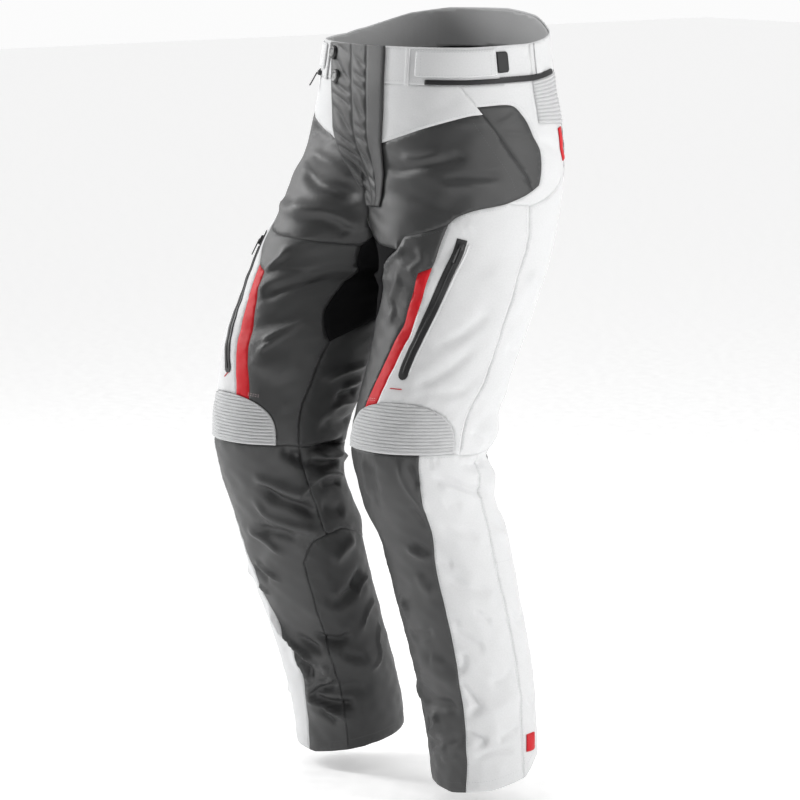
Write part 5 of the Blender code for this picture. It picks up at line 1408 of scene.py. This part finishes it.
def make_waist(patterns):
    """The band's two fronts, its back in one piece, and the lining inside it."""
    for side, pattern in patterns.items():
        outline = pattern.outline("rim_0", "rim_1", "band_side", "-band_1", "-band_0", "-middle_band")
        cloth_panel(f"cloth_waistband_front_{side}", side, outline, "white")
    top, bottom = [], []
    for side, flip in (("L", False), ("R", True)):
        for kind, store in (("rim", top), ("band", bottom)):
            lines = patterns[side].lines
            line = lines[f"{kind}_2"] + lines[f"{kind}_3"][1:]
            line = [(360.0 - a, h) for a, h in reversed(line)][1:] if flip else line
            store.extend(line)
    cloth_panel("cloth_waistband_back", "L", top + bottom[::-1], "white", at=gathered_back)
    angles = np.linspace(LINING_SIDE, 360.0 - LINING_SIDE, LINING_COLUMNS + 1)
    top = [(float(a), back_rim(a) - 0.0015) for a in angles]
    bottom = [(float(a), back_rim(a) - LINING_DROP) for a in angles]
    inside = lambda a, h, lift: gathered_back(a, h, lift, inset=LINING_INSET, depth=0.6 * GATHER_DEPTH)
    cloth_panel("cloth_waist_lining", "L", top + bottom[::-1], "lining", inside, LINING_WALL, 0.0)


def flap_edges(share):
    """Signed x of the free and the sewn edge, and the height, at shares down the flap."""
    ends = []
    for line in (FLAP_FREE, FLAP_SEWN):
        table = np.array(line)
        heights = table[0, 1] + share * (table[-1, 1] - table[0, 1])
        ends.append(np.stack([np.interp(-heights, -table[:, 1], table[:, 0]), heights], axis=-1))
    return ends


def flap_fold(across, down):
    """Quilting: slanting folds between the flap's upright sewing lines."""
    total = np.zeros(np.shape(across))
    for start, end, slope, rise, shift in FLAP_QUILT:
        part = (across - start) / (end - start)
        inside = (part > 0.0) & (part < 1.0)
        held = np.sin(math.pi * np.clip(part, 0.0, 1.0)) ** 0.6
        turns = (down - slope * part) / FLAP_PITCH + shift + 0.25 * np.sin(19.0 * down + 4.0 * shift)
        crest = np.abs(np.sin(math.pi * turns)) ** 0.8 - 0.5
        fade = 0.35 + 0.65 * ease((0.93 - down) / 0.1) * ease((down - 0.04) / 0.08)
        total = total + np.where(inside, rise * held * crest * fade, 0.0)
    for line in FLAP_SEAMS:
        total = total - FLAP_SEAM_DIP * np.exp(-((across - line) / FLAP_SEAM_HALF) ** 2)
    return total


def flap_at(across, down, lift=0.0):
    across, down = np.broadcast_arrays(np.asarray(across, float), np.asarray(down, float))
    free, sewn = flap_edges(down)
    spots = free + across[..., None] * (sewn - free)
    edge = np.minimum(across, 1.0 - across) * FLAP_SIZE[0]
    thin = FLAP_EDGE_DIP * np.exp(-(edge / FLAP_EDGE_HALF) ** 2)
    point, normal = flap_frame(spots[..., 0], spots[..., 1], FLAP_LIFT)
    return point + (lift + flap_fold(across, down) - thin)[..., None] * normal, normal


def make_flap():
    across, down = np.meshgrid(*(np.linspace(0.0, 1.0, count) for count in FLAP_GRID))
    outer, normals = flap_at(across, down)
    vertices, faces, _ = walled_grid(outer, outer - FLAP_BACK * normals, normals)
    uvs = np.tile(np.stack([across.ravel(), down.ravel()], axis=1) * FLAP_SIZE, (2, 1))
    flap = new_piece("cloth_fly_flap", vertices, faces, CLOTHS["grey"], uvs)
    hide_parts("fly_flap")
    lines = [[(line, d) for d in np.linspace(0.01, 0.99, 60)] for line in (*FLAP_SEAMS, *FLAP_HEMS)]
    stitches("sewing_fly_flap", flap_at, lines, THREADS["grey"], smooth=False)
    for name, (x, height, radius) in SNAPS.items():
        make_snap(name, x, height, radius)


def tube_faces(count, rings):
    """Faces of a closed tube of rings with count corners each, and its two ends."""
    faces = []
    for base in range(0, (rings - 1) * count, count):
        for k in range(count):
            a, b = base + k, base + (k + 1) % count
            faces.append((a, b, b + count, a + count))
    return faces + [tuple(reversed(range(count))), tuple(range((rings - 1) * count, rings * count))]


def make_snap(name, x, height, radius):
    """Domed snap with a rolled rim and a shallow dish."""
    points, normals = flap_frame(np.array([x]), np.array([height]), FLAP_LIFT + SNAP_LIFT)
    place, normal = points[0], normals[0]
    across = np.cross(normal, (0.0, 0.0, 1.0))
    across /= np.linalg.norm(across)
    along = np.cross(normal, across)
    vertices = []
    for reach, up in SNAP_DOME:
        for k in range(SNAP_ROUND):
            t = 2.0 * math.pi * k / SNAP_ROUND
            spoke = math.cos(t) * across + math.sin(t) * along
            vertices.append(place + radius * reach * spoke + SNAP_THICK * up * normal)
    faces = tube_faces(SNAP_ROUND, len(SNAP_DOME))
    made = new_piece("hard_" + name, vertices, faces, BLACK_METAL)
    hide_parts(name)


# Waist trim, zips and tabs

def level_path(side, start, end, count, drop):
    return [(float(a), float(rim(side, a)) - drop) for a in np.linspace(start, end, count)]


def make_strap(side, at):
    """The adjuster strap, its sewing and the hook tab at its end."""
    ends = [(0.0160, 0.0012), (0.0174, 0.0016), (0.0180, 0.0018)]
    strap = level_path(side, *STRAP_SPAN, 44, STRAP_DROP)
    sizes = ends + [(0.018, 0.0018)] * (len(strap) - 6) + ends[::-1]
    made = strip(f"cloth_waist_strap_{side}", at, strap, sizes, WAIST_LIFT, CLOTHS["white"],
                 0.05, f"waist_strap_{side}")
    top = lambda a, h, lift: fine_frame(side, a, h, WAIST_LIFT + 0.0020 + lift)
    lines = [level_path(side, STRAP_SEWN[0], STRAP_SEWN[-1], 30, STRAP_DROP + up)
             for up in (-STRAP_SEAM, STRAP_SEAM)]
    lines += [[(a, float(rim(side, a)) - STRAP_DROP + up) for up in np.linspace(-STRAP_SEAM, STRAP_SEAM, 8)]
              for a in STRAP_SEWN]
    stitches(f"sewing_strap_{side}", top, lines, THREADS["white"])
    hook = level_path(side, *HOOK_SPAN, 14, STRAP_DROP)
    sizes = [(0.0142, 0.0022)] * 11 + [(0.0140, 0.0021), (0.0132, 0.0018), (0.0112, 0.0012)]
    strip(f"hard_strap_hook_{side}", at, hook, sizes, WAIST_LIFT, BLACK_TAPE, 0.1,
          f"strap_hook_{side}")


def make_loops(side, at):
    """The belt loop at the front and the one at the side."""
    loop = [(LOOP_ANGLE, h) for h in np.linspace(*LOOP_DROPS, 20)]
    made = strip(f"cloth_belt_loop_{side}", at, loop, (0.0034, 0.0016), WAIST_LIFT, CLOTHS["white"],
                 0.3, f"belt_loop_{side}")
    rim_side = float(rim(side, SIDE_LOOP))
    loop = [(SIDE_LOOP, rim_side + h) for h in np.linspace(*SIDE_LOOP_DROPS, 20)]
    on_band = lambda a, h, lift: gathered_back(a if side == "L" else 360.0 - a, h, lift)
    made = strip(f"cloth_side_loop_{side}", on_band, loop, (0.0070, 0.0015), 0.0004, CLOTHS["white"],
                 0.1)


def make_waist_trim(side):
    on_leg = on_cloth(side)
    make_strap(side, on_leg)
    make_loops(side, on_leg)
    edge = [level_path(side, 4.0 if side == "L" else 2.0, 96.0, 50, drop) for drop in BAND_SEWN]
    stitches(f"sewing_band_{side}", on_leg, edge, THREADS["white"])
    band_zip(side, on_leg)


def band_zip(side, on_leg):
    """Connecting zip under the band: tape, teeth along its upper edge, and the right one's slider."""
    path = [band_zip_place(side, a) for a in np.linspace(*BAND_ZIP_ENDS, 90)]
    strip(f"zip_band_{side}", on_leg, path, BAND_ZIP_SIZE, WAIST_LIFT, BLACK_TAPE, 0.15,
          f"band_zip_{side}")
    upper = [(a, h + 0.0030) for a, h in (band_zip_place(side, a) for a in np.linspace(*TEETH_SPAN, 60))]
    teeth(f"teeth_band_{side}", on_leg, upper, (0.0009, 0.0016, 0.0011), 0.0028, WAIST_LIFT + 0.0006)
    if side == "R":
        path = [band_zip_place(side, a) for a in np.linspace(*BAND_SLIDER, 8)]
        sizes = [(0.0020, 0.0026)] + [BAND_SLIDER_SIZE] * 6 + [(0.0020, 0.0026)]
        strip("slider_band_R", on_leg, path, sizes, WAIST_LIFT, BLACK_PLASTIC, 0.1)


def teeth(name, at, path, size, pitch, lift):
    """A row of small moulded teeth across a path."""
    angles, heights = np.array(path).T
    points, normals = at(angles, heights, lift)
    along = length_along(points)
    vertices, faces = [], []
    half_run, half_across, high = size
    for place in np.arange(pitch, along[-1], pitch):
        centre, ahead = value_along(place, along, points), value_along(place + 0.001, along, points)
        normal = value_along(place, along, normals)
        run = (ahead - centre) / max(np.linalg.norm(ahead - centre), 1e-9)
        across = np.cross(normal, run)
        base = len(vertices)
        for up, shrink in ((0.0, 1.0), (0.7 * high, 1.0), (high, 0.55)):
            for x, y in ((-1, -1), (1, -1), (1, 1), (-1, 1)):
                spot = x * shrink * half_run * run + y * shrink * half_across * across
                vertices.append(centre + spot + up * normal)
        faces += [tuple(base + k for k in face) for face in tube_faces(4, 3)]
    made = new_piece(name, vertices, faces, BLACK_PLASTIC)
    for polygon in made.data.polygons:
        polygon.use_smooth = False


def make_pull(name, frame, length, body):
    """Moulded pull tab: a narrow neck, a rounded end and a raised rim round a hollow face."""
    hinge, run, across, normal = frame
    half = 0.5 * PULL_WIDTH
    outline = [*PULL_OUTLINE, *((x, -y) for x, y in reversed(PULL_OUTLINE))]
    middle = np.array([0.5 * length, 0.0])
    flat = np.array([(x * length, y * half) for x, y in outline])
    vertices = []
    for up, shrink in PULL_LEVELS:
        for spot in middle + (flat - middle) * (1.0 - (1.0 - shrink) * PULL_SHORTEN, shrink):
            vertices.append(hinge + spot[0] * run + spot[1] * across + up * PULL_THICK * normal)
    faces = [tuple(reversed(f)) for f in tube_faces(len(flat), len(PULL_LEVELS))]
    made = new_piece("hard_" + name, vertices, faces, BLACK_PLASTIC, body=body)
    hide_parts(name)


def make_thigh_zip(side, body):
    """Coated zip with a rounded lower end, a welt line beside it, its slider and its pull tab."""
    on_leg = on_cloth(side)
    fine = smooth_line(PLACES[side]["zip"], 0.001)
    last = len(fine) - 1
    path = [fine[k] for k in range(0, last + 1, 2)]
    sizes = []
    for k in range(0, last + 1, 2):
        left = (last - k) * 0.001
        round_end = math.sqrt(max(1.0 - (1.0 - min(left / ZIP_HALF, 1.0)) ** 2, 0.03))
        sizes.append((ZIP_HALF * round_end, ZIP_THICK * (0.75 + 0.25 * round_end)))
    strip(f"zip_thigh_{side}", on_leg, path, sizes, TRIM_LIFT - 0.0003, BLACK_COATED, 0.05,
          f"thigh_zip_{side}")
    coil = [fine[k] for k in range(20, last - 6, 2)]
    strip(f"coil_thigh_{side}", on_leg, coil, (0.0013, 0.0007), TRIM_LIFT + ZIP_THICK - 0.0002,
          BLACK_COATED, 0.5)
    slider = [fine[k] for k in range(6, 18)]
    top, foot = [(0.0032, 0.0026), (0.0041, 0.0032)], [(0.0038, 0.0032), (0.0028, 0.0026)]
    sizes = top + [(0.0044, 0.0034)] * 8 + foot
    strip(f"slider_thigh_{side}", on_leg, slider, sizes, TRIM_LIFT + 0.0008, BLACK_PLASTIC,
          0.15)
    make_pull(f"zip_pull_{side}", zip_frame(side), PULL_LENGTH, body)
    welt = [beside(fine, k, ZIP_HALF + 0.0016) for k in range(4, last - 4, 4)]
    strip(f"welt_thigh_{side}", on_leg, welt, (0.0012, 0.0006), 0.0, CLOTHS["white"], 0.6)
    sewn = [beside(fine, k, ZIP_HALF + 0.0052) for k in range(2, last - 2, 8)]
    stitches(f"sewing_zip_{side}", on_leg, [sewn], THREADS["white"])


def beside(line, k, away):
    """A place at a distance to the outer side of a line."""
    before, after = line[max(k - 2, 0)], line[min(k + 2, len(line) - 1)]
    run = np.array([(after[0] - before[0]) * ARC, after[1] - before[1]])
    run /= np.linalg.norm(run)
    return (line[k][0] - away * run[1] / ARC, line[k][1] + away * run[0])


def make_small_trim(side, pattern):
    """Hip piping, hem tab, bar stitches and the sewing of one leg."""
    on_leg = on_cloth(side)
    piping = smooth_line(PIPING, 0.002)
    made = strip(f"cloth_hip_piping_{side}", on_leg, piping, (0.0060, 0.0014), TRIM_LIFT, CLOTHS["red"],
                 0.2, f"hip_piping_{side}")
    tab = [(float(a), HEM_TAB_HEIGHT) for a in np.linspace(*HEM_TAB_SPAN, 14)]
    made = strip(f"cloth_hem_tab_{side}", on_leg, tab, (0.0120, 0.0016), TRIM_LIFT, CLOTHS["red"],
                 0.1, f"hem_tab_{side}")
    for number, path in enumerate(BARTACKS[side]):
        strip(f"bartack_{side}_{number}", on_leg, smooth_line(path, 0.001), (0.0007, 0.0006), 0.0002,
              THREADS["red"], 0.4)
    lines = {thread: list(SEWING.get(thread, ())) for thread in THREADS}
    lines["white"].append(SHIN_SEWING[side])
    for seam, away, thread in TOPSTITCH:
        line = smooth_line(pattern.lines[seam], 0.004)
        lines[thread].append([beside(line, k, away) for k in range(1, len(line) - 1)])
    for thread, paths in lines.items():
        if paths:
            stitches(f"sewing_{thread}_{side}", trim_frame(side), paths, THREADS[thread])


def trim_frame(side):
    """Where thread lies: on the cloth, or on top of the hem tab."""
    def frame_of(angle, height, lift=0.0):
        point, normal = fine_frame(side, angle, height, lift)
        angle, height = np.asarray(angle, float), np.asarray(height, float)
        on_tab = (np.abs(angle - 102.5) < 7.4) & (np.abs(height - HEM_TAB_HEIGHT) < 0.0118)
        return point + np.where(on_tab, TRIM_LIFT + 0.0017, 0.0)[..., None] * normal, normal
    return frame_of


# Light, floor and camera

def area_light(name, place, aim, size, power, colour):
    """A rectangular light turned to its aim."""
    data = bpy.data.lights.new(name, "AREA")
    data.shape = "RECTANGLE"
    data.size, data.size_y = size
    data.energy = power
    data.color = colour
    made = bpy.data.objects.new(name, data)
    bpy.context.collection.objects.link(made)
    made.location = place
    made.rotation_mode = "QUATERNION"
    made.rotation_quaternion = (Vector(aim) - Vector(place)).to_track_quat("-Z", "Y")


def around(azimuth, distance, height):
    """A place seen from the origin at an angle counted like the camera's."""
    turned = math.radians(azimuth)
    return (distance * math.sin(turned), -distance * math.cos(turned), height)


def make_studio():
    """White world, brightest behind the trousers and above, with lights, floor and camera."""
    world = bpy.data.worlds.new("studio")
    bpy.context.scene.world = world
    bpy.context.scene.view_settings.view_transform = "Standard"
    world.use_nodes = True
    nodes, link = world.node_tree.nodes, world.node_tree.links.new
    backdrop = nodes["Background"]
    backdrop.inputs["Color"].default_value = (1.0, 1.0, 1.0, 1.0)
    course = nodes.new("ShaderNodeTexCoord")
    facing = nodes.new("ShaderNodeVectorMath")
    facing.operation = "DOT_PRODUCT"
    facing.inputs[1].default_value = Vector(around(CAMERA_AZIMUTH + 180.0, 1.0, WORLD_RISE)).normalized()
    link(course.outputs["Generated"], facing.inputs[0])
    bright = nodes.new("ShaderNodeMapRange")
    for socket, value in zip(("From Min", "From Max", "To Min", "To Max"), WORLD_SPREAD):
        bright.inputs[socket].default_value = value
    link(facing.outputs["Value"], bright.inputs["Value"])
    link(bright.outputs["Result"], backdrop.inputs["Strength"])
    for name, azimuth, distance, height, size, power, colour in LIGHTS:
        area_light(name, around(azimuth, distance, height), STUDIO_MIDDLE, size, power, colour)
    make_floor()
    make_camera()


def make_floor():
    bpy.ops.mesh.primitive_plane_add(size=FLOOR_SIZE, location=(0.0, 0.0, FLOOR))
    floor = bpy.context.object
    floor.name = "studio_floor"
    paint = plain_material("floor_paint", FLOOR_WHITE, 0.9, 0.02, 40.0)
    surface = paint.node_tree.nodes["Principled BSDF"]
    surface.inputs["Emission Color"].default_value = (1.0, 1.0, 1.0, 1.0)
    surface.inputs["Emission Strength"].default_value = FLOOR_GLOW
    floor.data.materials.append(paint)


def make_camera():
    """Long-lens camera fitted to the photo."""
    data = bpy.data.cameras.new("camera")
    data.sensor_width = SENSOR
    data.lens = SENSOR * FOCAL_PIXELS / FRAME_PIXELS
    data.shift_x = CAMERA_SHIFT / FRAME_PIXELS
    data.clip_end = CAMERA_REACH
    camera = bpy.data.objects.new("camera", data)
    bpy.context.collection.objects.link(camera)
    place = Vector(around(CAMERA_AZIMUTH, CAMERA_DISTANCE, CAMERA_HEIGHT))
    camera.location = place
    camera.rotation_mode = "QUATERNION"
    camera.rotation_quaternion = (Vector((0.0, 0.0, CAMERA_AIM)) - place).to_track_quat("-Z", "Y")
    bpy.context.scene.camera = camera


def make_legs(patterns):
    """The plain and the ribbed panels of both legs."""
    for side, pattern in patterns.items():
        for name, colour, seams in PANELS:
            cloth_panel(f"cloth_{name}_{side}", side, pattern.outline(*seams), colour)
        ribbed_panel(f"knee_accordion_{side}", side, knee_place, KNEE_RIBS, KNEE_FINE, KNEE_BORDER, True)
        ribbed_panel(f"hip_accordion_{side}", side, hip_place(pattern), HIP_RIBS, HIP_FINE, HIP_BORDER,
                     False)


def make_trim(patterns):
    for side, body in PULL_BODIES.items():
        make_waist_trim(side)
        make_small_trim(side, patterns[side])
        make_thigh_zip(side, body)
    make_pull("band_pull_R", band_pull_frame(), BAND_PULL_LENGTH, "band_pull")


make_studio()
seam_patterns = {side: Pattern(side) for side in SIDES}
make_legs(seam_patterns)
make_waist(seam_patterns)
make_flap()
make_trim(seam_patterns)
